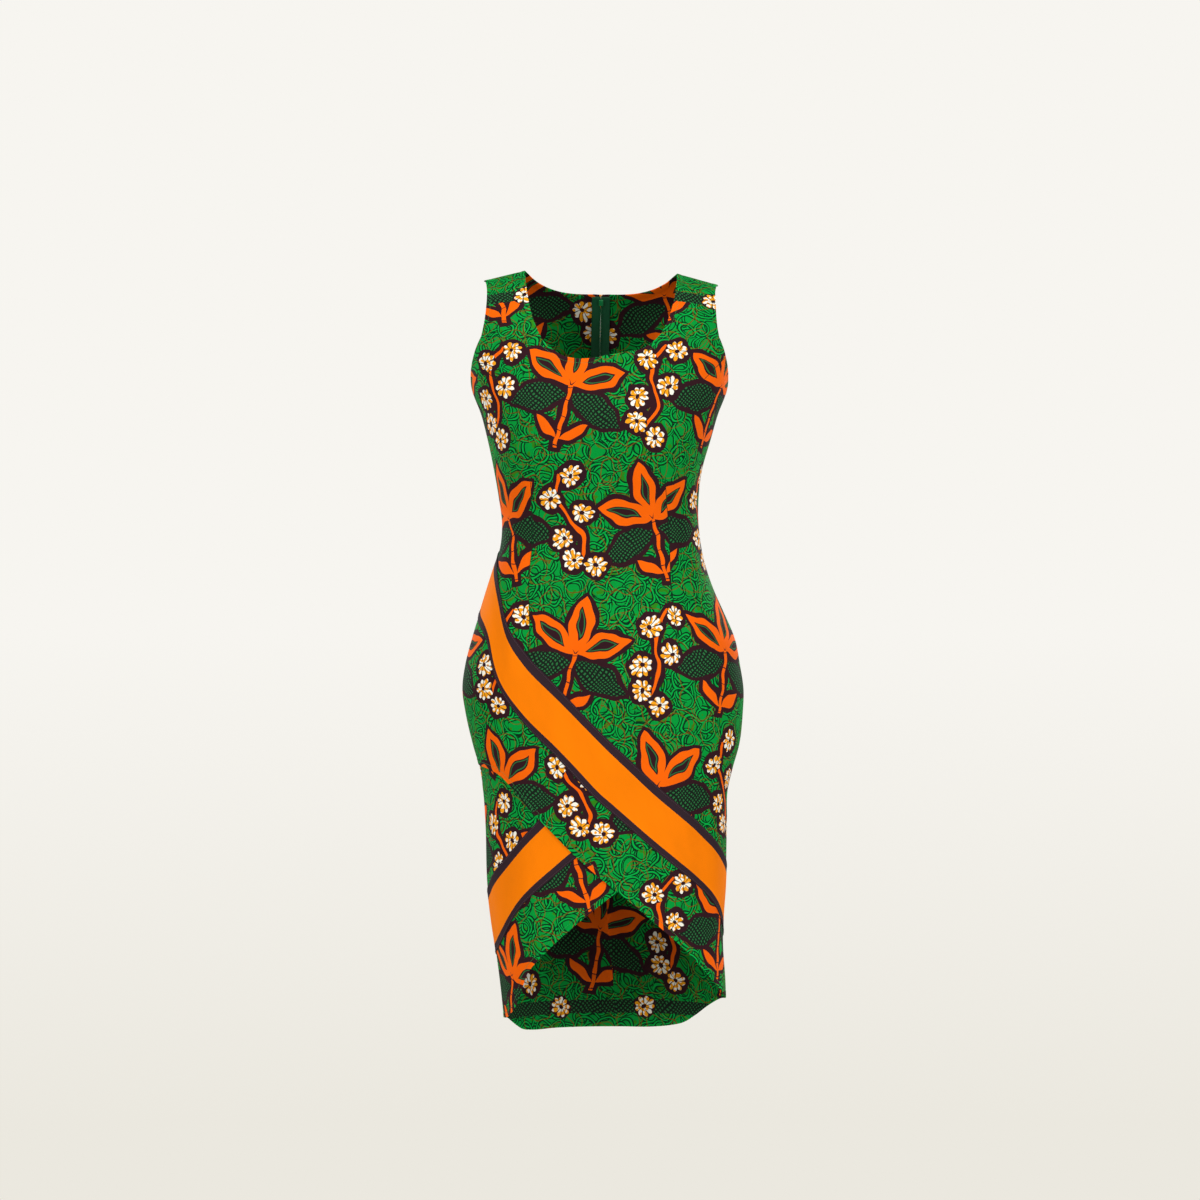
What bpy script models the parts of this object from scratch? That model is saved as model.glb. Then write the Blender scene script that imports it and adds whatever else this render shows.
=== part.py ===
"""A sleeveless wax cotton sheath dress with a tulip skirt, hollow as it is when worn.

Metres, +Z up. The front faces -Y, left is -X and the origin is the middle of the shoulder line.
Every panel is a strip of one worn form, which is lofted through the sections in SECTIONS.
A place on the form is a turn, from 0 at the left side seam to pi at the right one, and a path, which is
the height below the underarm and the distance on over the shoulder above it.
"""

import math

import bmesh
import bpy
import numpy as np
from mathutils import Matrix, Vector

MM = 0.001
DRESS = "ankara_wax_print_dress"

# Walls, and how far the outer face of each layer lies outside the form.
CLOTH_WALL = 1.5 * MM
BAND_WALL = 1.0 * MM
TAPE_WALL = 0.8 * MM
BAND_OVER_OUT = 1.7 * MM
BAND_UNDER_OUT = -2.2 * MM
UNDERLAP_OUT = -4.1 * MM
TAPE_OUT = -2.4 * MM
COIL_OUT = -3.7 * MM

# Half of the gap that each seam keeps.
SIDE_SEAM = 0.25 * MM
BACK_SEAM = 0.25 * MM
ZIP_OPENING = 0.9 * MM

# The worn form, in millimetres: a row for each height, from below the hem to past the shoulder.
SECTION_COLUMNS = ("path", "height", "left", "right", "front", "back", "power")
SECTIONS = (
    (-1020, -1020, -125, 161, -121, 119, 2.3),
    (-958, -958, -129, 160, -119, 117, 2.3),
    (-910, -910, -134, 159, -117, 115, 2.3),
    (-865, -865, -140, 156, -115, 113, 2.3),
    (-832, -832, -145, 156, -113, 112, 2.3),
    (-788, -788, -150, 159, -112, 112, 2.3),
    (-702, -702, -153, 161, -111, 115, 2.3),
    (-663, -663, -156, 162, -111, 118, 2.3),
    (-633, -633, -161, 169, -112, 122, 2.25),
    (-605, -605, -169, 177, -113, 126, 2.2),
    (-562, -562, -179, 182, -114, 129, 2.2),
    (-533, -533, -183, 183, -114, 129, 2.2),
    (-499, -499, -179, 178, -113, 125, 2.2),
    (-468, -468, -171, 172, -111, 118, 2.2),
    (-432, -432, -160, 157, -107, 108, 2.2),
    (-403, -403, -151, 144, -103, 99, 2.2),
    (-378, -378, -143, 135, -99, 91, 2.2),
    (-350, -350, -134, 128, -96, 84, 2.2),
    (-318, -318, -131, 124, -95, 82, 2.2),
    (-285, -285, -135, 124, -97, 85, 2.25),
    (-250, -250, -141, 128, -101, 90, 2.3),
    (-207, -207, -150, 140, -105, 97, 2.4),
    (-173, -173, -159, 150, -106, 100, 2.5),
    (-150, -150, -168, 159, -104, 101, 2.6),
    (-106, -108, -175, 166, -94, 98, 2.6),
    (-62, -70, -175, 168, -76, 88, 2.6),
    (-20, -35, -173, 168, -52, 69, 2.6),
    (15, -12, -173, 168, -25, 42, 2.6),
    (50, 0, -173, 168, 8, 8, 2.6),
    (85, -12, -173, 168, 42, -25, 2.6),
)

# The shoulder line falls from the neck to the arm, a little more on the right.
SHOULDER_TOP = 15 * MM
SHOULDER_NECK = 85 * MM
SHOULDER_ROUND = 40 * MM
SHOULDER_FALL = 0.28
SHOULDER_TILT = -0.02
SHOULDER_FROM = -150 * MM

# The fullness that the darts give the front, on each side of the middle.
BUST_OUT = 20 * MM
BUST_APART = 83 * MM
BUST_HEIGHT = -208 * MM
BUST_WIDE = 46 * MM
BUST_TALL = 50 * MM

# Cut lines, as turn in degrees and path in millimetres.
OVER_EDGE = (
    (0, -627),
    (38, -645),
    (56, -684),
    (76, -735),
    (91, -778),
    (128, -861),
    (156, -912),
    (180, -933),
)
UNDER_EDGE = (
    (0, -958),
    (14, -953),
    (33, -929),
    (44, -895),
    (57, -869),
    (90, -796),
    (124, -708),
    (142, -668),
    (180, -650),
)
UNDERLAP_TOP = -362 * MM
# Each back's hem falls from its side seam's corner, at 0, to the level middle, at 90.
BACK_HEMS = {
    "left": ((0, -958), (15, -964), (25, -974), (33, -982), (42, -985), (60, -985), (90, -985)),
    "right": ((0, -933), (20, -940), (35, -953), (45, -966), (54, -977), (63, -982), (75, -985), (90, -985)),
}
UNDERARM = -146 * MM
# The power of the curve from the underarm up to the strap. A higher one starts flatter.
ARMHOLE_POWER = 1.3

# Straps, as distance from the middle in millimetres along the path.
STRAP_COLUMNS = ("path", "armhole", "neck")
STRAPS = (
    (-70, 153, 79),
    (-50, 150, 87),
    (-20, 148, 94),
    (15, 148, 98),
    (35, 150, 99),
    (50, 155, 99),
)
STRAP_BASE = -70 * MM
SHOULDER_SEAM = 49.4 * MM
SHOULDER_LAST_ROW = 4 * MM
# The front neckline, as the share of the way out to a strap and the path in millimetres.
NECK_COLUMN_NAMES = ("share", "path")
NECKLINE = (
    (-1, -70),
    (-0.93, -81),
    (-0.8, -92),
    (-0.62, -103),
    (-0.4, -108),
    (-0.1, -107.5),
    (0.15, -103.5),
    (0.45, -99),
    (0.68, -94.5),
    (0.82, -87),
    (0.93, -77.5),
    (1, -70),
)
BACK_NECK = -10 * MM

# Bands, as turn in degrees and the paths of the outer edges of their dark stripes in millimetres.
BAND_COLUMNS = ("turn", "upper", "lower")
OVER_BAND = (
    (0, -352, -433),
    (10, -363, -443),
    (33, -409, -475),
    (46, -451, -530),
    (57, -481, -572),
    (71, -518, -616),
    (90, -590, -679),
    (103, -632, -717),
    (122, -675, -757),
    (146, -715, -795),
    (165, -744, -827),
    (180, -763, -853),
)
UNDER_BAND = (
    (0, -796, -877),
    (24, -762, -852),
    (45, -728, -811),
    (60, -696, -782),
    (77, -655, -746),
    (90, -622, -714),
    (109, -564, -652),
    (123, -527, -611),
    (134, -498, -574),
    (147, -458, -518),
    (170, -414, -487),
    (180, -405, -477),
)

# The concealed zip.
ZIP_END = -520 * MM
ZIP_BELOW_NECK = 2 * MM
TAPE_WIDTH = 11 * MM
TAPE_APART = 0.9 * MM
COIL_WIDTH = 3.2 * MM
COIL_WALL = 1.4 * MM
SLIDER_BELOW_NECK = 9 * MM
SLIDER_WIDTH = 5.6 * MM
SLIDER_LONG = 8 * MM
SLIDER_DEEP = 2.4 * MM
LOOP_THICK = 0.8 * MM
LOOP_HOLE = 1.1 * MM
LOOP_ROUND = 2.0 * MM
STEM_LONG = 2.4 * MM
PIVOT_OUT = 3.0 * MM
PULL_BAR = 0.5 * MM
PULL_THICK = 0.9 * MM
PULL_WIDTH = 5.2 * MM
PULL_NECK = 3.2 * MM
PULL_LONG = 21 * MM
PULL_DROP_AT = 0.8
PULL_SLOT = (1.8 * MM, 3.0 * MM)
PULL_CLEAR = 1.1 * MM

# How finely the panels are divided.
ARM_COLUMNS = 5
ARM_CLOSE = 1.3
STRAP_STEPS = 4
NECK_COLUMNS = 8
BACK_NECK_COLUMNS = 4
HIP_LINE = -600 * MM
BUST_LINE = -215 * MM
BODY_ROWS = 17
YOKE_ROWS = 5
SKIRT_ROWS = 10
STRAP_ROWS = 6
UNDERLAP_ROWS = 15
BAND_STEPS = 4
ZIP_ROWS = 24
ZIP_TOP_ROWS = 4

FRONT, BACK = -1, 1
GREEN = (0.02, 0.22, 0.06)
ORANGE = (0.95, 0.20, 0.01)
ZIP_GREEN = (0.01, 0.10, 0.03)
METAL = (0.55, 0.53, 0.50)


# Curves and the worn form

def smooth(knots, values, at):
    """A curve through points, whose slope at each point is set by its neighbours."""
    knots = np.asarray(knots, float)
    values = np.asarray(values, float)
    slopes = np.gradient(values, knots)
    i = np.clip(np.searchsorted(knots, at) - 1, 0, len(knots) - 2)
    width = knots[i + 1] - knots[i]
    s = np.clip((at - knots[i]) / width, 0, 1)
    start = (1 + 2 * s) * (1 - s) ** 2 * values[i] + s * (1 - s) ** 2 * width * slopes[i]
    end = s * s * (3 - 2 * s) * values[i + 1] - s * s * (1 - s) * width * slopes[i + 1]
    return start + end


def column(table, names, name):
    return np.array([row[names.index(name)] for row in table], float)


def section(name, path):
    """A size of the worn form at a path, in metres, or its power."""
    scale = 1 if name == "power" else MM
    paths = column(SECTIONS, SECTION_COLUMNS, "path") * MM
    return smooth(paths, column(SECTIONS, SECTION_COLUMNS, name) * scale, path)


def middle(path):
    return (section("left", path) + section("right", path)) / 2


def half_width(path):
    return (section("right", path) - section("left", path)) / 2


def cut_line(points, turn):
    """The path of a cut line at a turn."""
    turns, paths = np.array(points, float).T
    return smooth(np.radians(turns), paths * MM, turn)


def shoulder(x, path):
    """How far the shoulder's slope lifts the cloth."""
    share = np.clip((path - SHOULDER_FROM) / (50 * MM - SHOULDER_FROM), 0, 1) ** 2
    across = np.hypot(x, SHOULDER_ROUND) - math.hypot(SHOULDER_NECK, SHOULDER_ROUND)
    return share * (SHOULDER_TOP - SHOULDER_FALL * across + SHOULDER_TILT * x)


def bust(x, height):
    """How far the darts' fullness pushes the front out."""
    wide = np.exp(-(((abs(x) - BUST_APART) / BUST_WIDE) ** 2) / 2)
    wide += np.exp(-(((abs(x) + BUST_APART) / BUST_WIDE) ** 2) / 2)
    tall = np.exp(-(((height - BUST_HEIGHT) / BUST_TALL) ** 2) / 2)
    return BUST_OUT * wide * tall


def form(turn, path, facing):
    """Points of the worn form, on its front or back half."""
    turn, path = np.broadcast_arrays(turn, path)
    power = section("power", path)
    round_x = -np.sign(np.cos(turn)) * abs(np.cos(turn)) ** (2 / power)
    round_y = abs(np.sin(turn)) ** (2 / power)
    seam = (section("front", path) + section("back", path)) / 2
    from_middle = half_width(path) * round_x
    height = section("height", path)
    x = middle(path) + from_middle
    deep = section("front" if facing == FRONT else "back", path) - seam
    if facing == FRONT:
        deep = deep - bust(from_middle, height)
    return np.stack([x, seam + deep * round_y, height + shoulder(from_middle, path)], axis=-1)


def layer(turn, path, facing, out):
    """Points of a layer that lies out from the form along its normal."""
    turn, path = np.broadcast_arrays(turn, path)
    step = 0.002
    across = form(np.clip(turn + step, 0, math.pi), path, facing)
    across -= form(np.clip(turn - step, 0, math.pi), path, facing)
    along = form(turn, path + step * 0.1, facing) - form(turn, path - step * 0.1, facing)
    normal = np.cross(across, along) * -facing
    normal /= np.linalg.norm(normal, axis=-1, keepdims=True)
    return form(turn, path, facing) + out * normal


def turn_at(from_middle, path):
    """The turn of a place that lies a given distance right of the middle."""
    share = np.clip(abs(from_middle) / half_width(path), 0, 1)
    turn = np.arccos(share ** (section("power", path) / 2))
    return np.where(np.asarray(from_middle) > 0, math.pi - turn, turn)


def side_turn(path, facing):
    """The turn at which a panel stops short of the side seam."""
    seam = (section("front", path) + section("back", path)) / 2
    deep = abs(section("front" if facing == FRONT else "back", path) - seam)
    return np.arcsin((SIDE_SEAM / deep) ** (section("power", path) / 2))


# Grids: each is a pair of arrays, turn and path, a row for each height

def spread(low, high, rows):
    """Rows of numbers from one row to another."""
    share = np.linspace(0, 1, rows + 1)[:, None]
    return np.asarray(low) * (1 - share) + np.asarray(high) * share


def to_shoulder(low, top):
    """Rows up to an edge, the last ones close together, so that the wall's end is square to the seam."""
    last = top - SHOULDER_LAST_ROW
    return np.concatenate([spread(np.full(len(top), low), last, STRAP_ROWS), top[None, :]])


def strap_edge(name, path):
    paths = column(STRAPS, STRAP_COLUMNS, "path") * MM
    return smooth(paths, column(STRAPS, STRAP_COLUMNS, name) * MM, path)


def strap_turns(path):
    """The turns of the left strap's armhole and neck edges."""
    return turn_at(-strap_edge("armhole", path), path), turn_at(-strap_edge("neck", path), path)


def even(start, end, steps):
    return np.linspace(start, end, steps + 1)


def armhole(turn, base_turn):
    """The path of the lower armhole at a turn between the side seam and the strap."""
    share = np.clip(np.sin(turn) / math.sin(base_turn), 0, 1) ** ARMHOLE_POWER
    return UNDERARM + (STRAP_BASE - UNDERARM) * share


def close_to_seams(turns, paths, facing, both):
    """Moves the outermost columns off the side seams by the seam's half gap."""
    turns = np.array(np.broadcast_to(turns, np.shape(paths)))
    turns[:, 0] = np.maximum(turns[:, 0], side_turn(paths[:, 0], facing))
    if both:
        turns[:, -1] = np.minimum(turns[:, -1], math.pi - side_turn(paths[:, -1], facing))
    return turns, np.array(paths)


def mirrored(grid):
    turned, paths = grid
    return math.pi - turned[:, ::-1], paths[:, ::-1]


def arm_turns(armhole_turn):
    """Turns from the side seam to the strap, closer together by the seam."""
    return armhole_turn * even(0, 1, ARM_COLUMNS)[:-1] ** ARM_CLOSE


def front_columns():
    """The front's turns at the strap base, from one side seam to the other."""
    armhole_turn, neck_turn = strap_turns(STRAP_BASE)
    neck = strap_edge("neck", STRAP_BASE)
    neck_x = -neck * np.cos(even(0, math.pi, NECK_COLUMNS))
    left = np.concatenate([
        arm_turns(armhole_turn),
        even(armhole_turn, neck_turn, STRAP_STEPS)[:-1],
    ])
    scoop = turn_at(neck_x, STRAP_BASE)
    return np.concatenate([left, scoop, (math.pi - left)[::-1]]), neck_x / neck


def front_top():
    """The front's turns, and the path of its upper edge below the straps at each."""
    turns, neck_share = front_columns()
    armhole_turn = strap_turns(STRAP_BASE)[0]
    top = armhole(np.minimum(turns, math.pi - turns), armhole_turn)
    shares = column(NECKLINE, NECK_COLUMN_NAMES, "share")
    first = ARM_COLUMNS + STRAP_STEPS
    neckline = smooth(shares, column(NECKLINE, NECK_COLUMN_NAMES, "path") * MM, neck_share)
    top[first:first + NECK_COLUMNS + 1] = neckline
    return turns, top


def front_grids():
    turns, top = front_top()
    edge = cut_line(OVER_EDGE, turns)
    hip = np.full(len(turns), HIP_LINE)
    bust_line = np.full(len(turns), BUST_LINE)
    parts = (
        spread(edge, hip, SKIRT_ROWS),
        spread(hip, bust_line, BODY_ROWS),
        spread(bust_line, top, YOKE_ROWS),
    )
    grids = [close_to_seams(turns, paths, FRONT, both=True) for paths in parts]
    path = to_shoulder(STRAP_BASE, np.array([SHOULDER_SEAM]))
    outer, inner = strap_turns(path)
    strap = outer + (inner - outer) * np.linspace(0, 1, STRAP_STEPS + 1)
    left = (strap, np.broadcast_to(path, strap.shape))
    return grids + [left, mirrored(left)]


def back_centre_turn(path):
    """The left back's last turn, short of the centre-back seam or the zip."""
    gap = np.where(np.asarray(path) > ZIP_END, ZIP_OPENING, BACK_SEAM)
    return turn_at(-gap, path)


def back_grids(side):
    """The left or right back. The right one is the left one's mirror but for its hem corner."""
    armhole_turn = strap_turns(STRAP_BASE)[0]
    shares = even(0, 1, STRAP_STEPS + BACK_NECK_COLUMNS)
    turns = np.concatenate([arm_turns(armhole_turn), armhole_turn + (math.pi / 2 - armhole_turn) * shares])
    hem = cut_line(BACK_HEMS[side], turns)
    hip = np.full(len(turns), HIP_LINE)
    bust_line = np.full(len(turns), BUST_LINE)
    top = armhole(turns, armhole_turn)
    parts = (
        spread(hem, hip, SKIRT_ROWS + 1),
        spread(hip, bust_line, BODY_ROWS),
        spread(bust_line, top, YOKE_ROWS),
    )
    grids = []
    for paths in parts:
        turned, paths = close_to_seams(turns, paths, BACK, both=False)
        turned[:, -1] = back_centre_turn(paths[:, -1])
        grids.append((turned, paths))
    grids.append(back_yoke(shares))
    if side == "right":
        grids = [mirrored(grid) for grid in grids]
    return grids


def back_yoke(shares):
    """The upper back, from the strap base to the shoulder seam and the back neckline."""
    outer, inner = strap_turns(SHOULDER_SEAM)
    neck_share = (inner - outer) / (math.pi / 2 - outer)
    top_shares = np.concatenate([
        even(0, neck_share, STRAP_STEPS)[:-1],
        even(neck_share, 1, BACK_NECK_COLUMNS),
    ])
    across = np.linspace(1, 0, BACK_NECK_COLUMNS + 1)
    neckline = BACK_NECK + (SHOULDER_SEAM - BACK_NECK) * (1 - np.sqrt(1 - across ** 2))
    top = np.concatenate([np.full(STRAP_STEPS, SHOULDER_SEAM), neckline])
    paths = to_shoulder(STRAP_BASE, top)
    start = strap_turns(paths)[0]
    climbed = (paths[:, :1] - STRAP_BASE) / (SHOULDER_SEAM - STRAP_BASE)
    turned = start + (math.pi / 2 - start) * (shares + (top_shares - shares) * climbed)
    turned[:, -1] = back_centre_turn(paths[:, -1])
    return turned, paths


def underlap_grid():
    turns = front_columns()[0]
    edge = cut_line(UNDER_EDGE, turns)
    paths = spread(edge, np.full(len(turns), UNDERLAP_TOP), UNDERLAP_ROWS)
    return close_to_seams(turns, paths, FRONT, both=True)


def band_grid(table):
    turns = front_columns()[0]
    at = np.radians(column(table, BAND_COLUMNS, "turn"))
    upper = smooth(at, column(table, BAND_COLUMNS, "upper") * MM, turns)
    lower = smooth(at, column(table, BAND_COLUMNS, "lower") * MM, turns)
    return close_to_seams(turns, spread(lower, upper, BAND_STEPS), FRONT, both=True)


def zip_grid(start, end, past_slider):
    """A strip up the centre back to the slider or past it, between two distances from the middle."""
    slider_low = BACK_NECK - SLIDER_BELOW_NECK - SLIDER_LONG / 2 - 0.5 * MM
    path = even(ZIP_END, slider_low, ZIP_ROWS)
    if past_slider:
        path = np.concatenate([path, even(slider_low, BACK_NECK - ZIP_BELOW_NECK, ZIP_TOP_ROWS)[1:]])
    turned = turn_at(np.array([[start, end]]), path[:, None])
    return turned, np.broadcast_to(path[:, None], turned.shape)


# Solids

def material(name, colour, roughness, metallic=0.0):
    made = bpy.data.materials.new(name)
    made.use_nodes = True
    shader = made.node_tree.nodes["Principled BSDF"]
    shader.inputs["Base Color"].default_value = (*colour, 1)
    shader.inputs["Roughness"].default_value = roughness
    shader.inputs["Metallic"].default_value = metallic
    return made


def add_object(name, mesh, collection, finish):
    made = bpy.data.objects.new(name, mesh)
    mesh.materials.append(finish)
    collection.objects.link(made)
    return made


def shell(name, grids, facing, out, wall, collection, finish):
    """A wall through grids of the form, with its outer face out from the form."""
    bm = bmesh.new()
    for turned, paths in grids:
        points = layer(turned, paths, facing, out)
        rows = [[bm.verts.new(point) for point in row] for row in points]
        for low, high in zip(rows, rows[1:]):
            for corners in zip(low, low[1:], high[1:], high):
                bm.faces.new(corners if facing == FRONT else corners[::-1])
    bmesh.ops.remove_doubles(bm, verts=bm.verts, dist=0.02 * MM)
    mesh = bpy.data.meshes.new(name)
    bm.to_mesh(mesh)
    bm.free()
    mesh.shade_smooth()
    made = add_object(name, mesh, collection, finish)
    solidify = made.modifiers.new("wall", "SOLIDIFY")
    solidify.thickness = wall
    solidify.offset = -1
    solidify.use_even_offset = True
    split = made.modifiers.new("split", "TRIANGULATE")
    split.quad_method = "SHORTEST_DIAGONAL"
    return made


def box(name, size, at, frame, collection, finish):
    """A block with its middle at a place in a frame."""
    bm = bmesh.new()
    place = frame @ Matrix.Translation(at) @ Matrix.Diagonal((*size, 1))
    bmesh.ops.create_cube(bm, size=1, matrix=place)
    mesh = bpy.data.meshes.new(name)
    bm.to_mesh(mesh)
    bm.free()
    return add_object(name, mesh, collection, finish)


def disc(name, radius, thick, at, frame, collection, finish):
    """A short cylinder along the frame's X axis."""
    bm = bmesh.new()
    turn = Matrix.Rotation(math.pi / 2, 4, "Y")
    place = frame @ Matrix.Translation(at) @ turn
    bmesh.ops.create_cone(
        bm, cap_ends=True, segments=20, radius1=radius, radius2=radius, depth=thick, matrix=place
    )
    mesh = bpy.data.meshes.new(name)
    bm.to_mesh(mesh)
    bm.free()
    return add_object(name, mesh, collection, finish)


def combine(target, other, operation, cutters):
    """Joins or cuts an object by another, which becomes a cutter."""
    change = target.modifiers.new(other.name, "BOOLEAN")
    change.operation = operation
    change.object = other
    for home in list(other.users_collection):
        home.objects.unlink(other)
    cutters.objects.link(other)
    other.hide_render = True
    other.display_type = "WIRE"


def slider_frame():
    """A frame at the slider: X right, Y out from the back and Z up along it, on the form."""
    path = BACK_NECK - SLIDER_BELOW_NECK
    here = Vector(layer(math.pi / 2, path, BACK, 0))
    outward = (Vector(layer(math.pi / 2, path, BACK, 1 * MM)) - here).normalized()
    outward.x = 0
    outward.normalize()
    right = Vector((1, 0, 0))
    upward = right.cross(outward)
    frame = Matrix((right, outward, upward)).transposed().to_4x4()
    frame.translation = here
    return frame, path


def add_slider(collection, cutters, finish):
    """The slider: a body inside the tapes, and a loop that comes out between the backs."""
    frame, _ = slider_frame()
    body_out = COIL_OUT - SLIDER_DEEP / 2
    slider = box(
        "zip_slider", (SLIDER_WIDTH, SLIDER_DEEP, SLIDER_LONG), (0, body_out, 0), frame, collection, finish
    )
    loop = disc("slider_loop", LOOP_ROUND, LOOP_THICK, (0, PIVOT_OUT, 0), frame, collection, finish)
    stem_low = body_out
    stem_high = PIVOT_OUT - (LOOP_HOLE + LOOP_ROUND) / 2
    stem = box(
        "slider_stem",
        (LOOP_THICK, stem_high - stem_low, STEM_LONG),
        (0, (stem_high + stem_low) / 2, 0),
        frame,
        collection,
        finish,
    )
    eye = disc("slider_eye", LOOP_HOLE, 3 * LOOP_THICK, (0, PIVOT_OUT, 0), frame, collection, finish)
    combine(slider, stem, "UNION", cutters)
    combine(slider, loop, "UNION", cutters)
    combine(slider, eye, "DIFFERENCE", cutters)
    return slider


def add_pull(collection, cutters, finish):
    """The pull, which hangs from the loop and lies along the back."""
    frame, path = slider_frame()
    pivot = frame @ Vector((0, PIVOT_OUT, 0))
    tip = Vector(layer(math.pi / 2, path - PULL_LONG, BACK, PULL_CLEAR))
    down = tip - pivot
    down.x = 0
    down.normalize()
    right = Vector((1, 0, 0))
    hang = Matrix((right, right.cross(down), -down)).transposed().to_4x4()
    hang.translation = pivot
    mount = bpy.data.objects.new("zip_pull_axis", None)
    mount.matrix_world = hang
    collection.objects.link(mount)
    here = Matrix.Identity(4)
    straight = PULL_LONG * PULL_DROP_AT
    pull = box(
        "zip_pull",
        (PULL_NECK, PULL_THICK, straight),
        (0, 0, PULL_BAR - straight / 2),
        here,
        collection,
        finish,
    )
    drop = disc("pull_drop", PULL_WIDTH / 2, PULL_THICK, (0, 0, 0), here, collection, finish)
    drop.data.transform(Matrix.Rotation(math.pi / 2, 4, "Z"))
    drop.data.transform(Matrix.Translation((0, 0, -PULL_LONG + PULL_WIDTH / 2)))
    slot = box(
        "pull_slot",
        (PULL_SLOT[0], 3 * PULL_THICK, PULL_SLOT[1]),
        (0, 0, -PULL_BAR - PULL_SLOT[1] / 2),
        here,
        collection,
        finish,
    )
    combine(pull, drop, "UNION", cutters)
    combine(pull, slot, "DIFFERENCE", cutters)
    for piece in (pull, drop, slot):
        piece.parent = mount
    return pull


def add_zip(collection, cutters, tape, metal):
    left = [zip_grid(-TAPE_APART - TAPE_WIDTH, -TAPE_APART, past_slider=True)]
    right = [zip_grid(TAPE_APART, TAPE_APART + TAPE_WIDTH, past_slider=True)]
    coil = [zip_grid(-COIL_WIDTH / 2, COIL_WIDTH / 2, past_slider=False)]
    shell("zip_tape_left", left, BACK, TAPE_OUT, TAPE_WALL, collection, tape)
    shell("zip_tape_right", right, BACK, TAPE_OUT, TAPE_WALL, collection, tape)
    shell("zip_coil", coil, BACK, COIL_OUT, COIL_WALL, collection, tape)
    add_slider(collection, cutters, metal)
    add_pull(collection, cutters, metal)


def build():
    for old in list(bpy.data.objects):
        bpy.data.objects.remove(old)
    dress = bpy.data.collections.new(DRESS)
    cutters = bpy.data.collections.new("cutters")
    bpy.context.scene.collection.children.link(dress)
    bpy.context.scene.collection.children.link(cutters)
    print_finish = {
        name: material(name, GREEN, 0.6)
        for name in ("front_cloth", "underlap_cloth", "back_left_cloth", "back_right_cloth")
    }
    shell("front", front_grids(), FRONT, 0, CLOTH_WALL, dress, print_finish["front_cloth"])
    underlap_cloth = print_finish["underlap_cloth"]
    shell("front_underlap", [underlap_grid()], FRONT, UNDERLAP_OUT, CLOTH_WALL, dress, underlap_cloth)
    shell("back_left", back_grids("left"), BACK, 0, CLOTH_WALL, dress, print_finish["back_left_cloth"])
    shell("back_right", back_grids("right"), BACK, 0, CLOTH_WALL, dress, print_finish["back_right_cloth"])
    band = material("band_over_cloth", ORANGE, 0.55)
    shell("band_over", [band_grid(OVER_BAND)], FRONT, BAND_OVER_OUT, BAND_WALL, dress, band)
    band = material("band_under_cloth", ORANGE, 0.55)
    shell("band_under", [band_grid(UNDER_BAND)], FRONT, BAND_UNDER_OUT, BAND_WALL, dress, band)
    add_zip(dress, cutters, material("zip_tape", ZIP_GREEN, 0.7), material("zip_metal", METAL, 0.35, 0.9))


build()
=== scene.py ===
"""A sleeveless knee-length sheath dress in green wax print cotton, hollow as it is when worn.

It is put together as it is sewn: the front with its over skirt, the under skirt, the two backs, the bands,
the hems' stitches and the zip. Then come the studio and the camera. +Z is up, the front faces -Y, and left
and right are as seen from the front. Cloth is worked out in millimetres and made into meshes in metres.
"""

import math
from functools import partial

import bmesh
import bpy
import numpy as np
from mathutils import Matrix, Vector, kdtree
from mathutils.bvhtree import BVHTree


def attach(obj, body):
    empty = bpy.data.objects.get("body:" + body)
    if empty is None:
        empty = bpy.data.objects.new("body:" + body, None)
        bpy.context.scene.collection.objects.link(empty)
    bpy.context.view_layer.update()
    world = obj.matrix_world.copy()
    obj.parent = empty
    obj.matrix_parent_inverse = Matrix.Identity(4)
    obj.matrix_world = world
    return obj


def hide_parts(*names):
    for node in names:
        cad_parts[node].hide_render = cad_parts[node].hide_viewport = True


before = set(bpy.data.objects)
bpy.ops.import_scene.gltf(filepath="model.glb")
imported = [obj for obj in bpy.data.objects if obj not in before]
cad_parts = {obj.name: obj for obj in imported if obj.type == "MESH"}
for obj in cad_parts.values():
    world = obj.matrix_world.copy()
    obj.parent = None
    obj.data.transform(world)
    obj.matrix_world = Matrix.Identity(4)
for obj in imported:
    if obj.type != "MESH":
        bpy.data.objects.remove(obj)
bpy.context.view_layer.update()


# THE FRONT. One piece of printed wax cotton from the shoulders to the over skirt's slanting edge, shaped by
# two short armhole darts and two long waist darts. It is sewn to the backs at the shoulders and sides, and
# its neck, armholes and free edge are turned under.

MM = 0.001
FRONT, BACK = -1, 1

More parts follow.
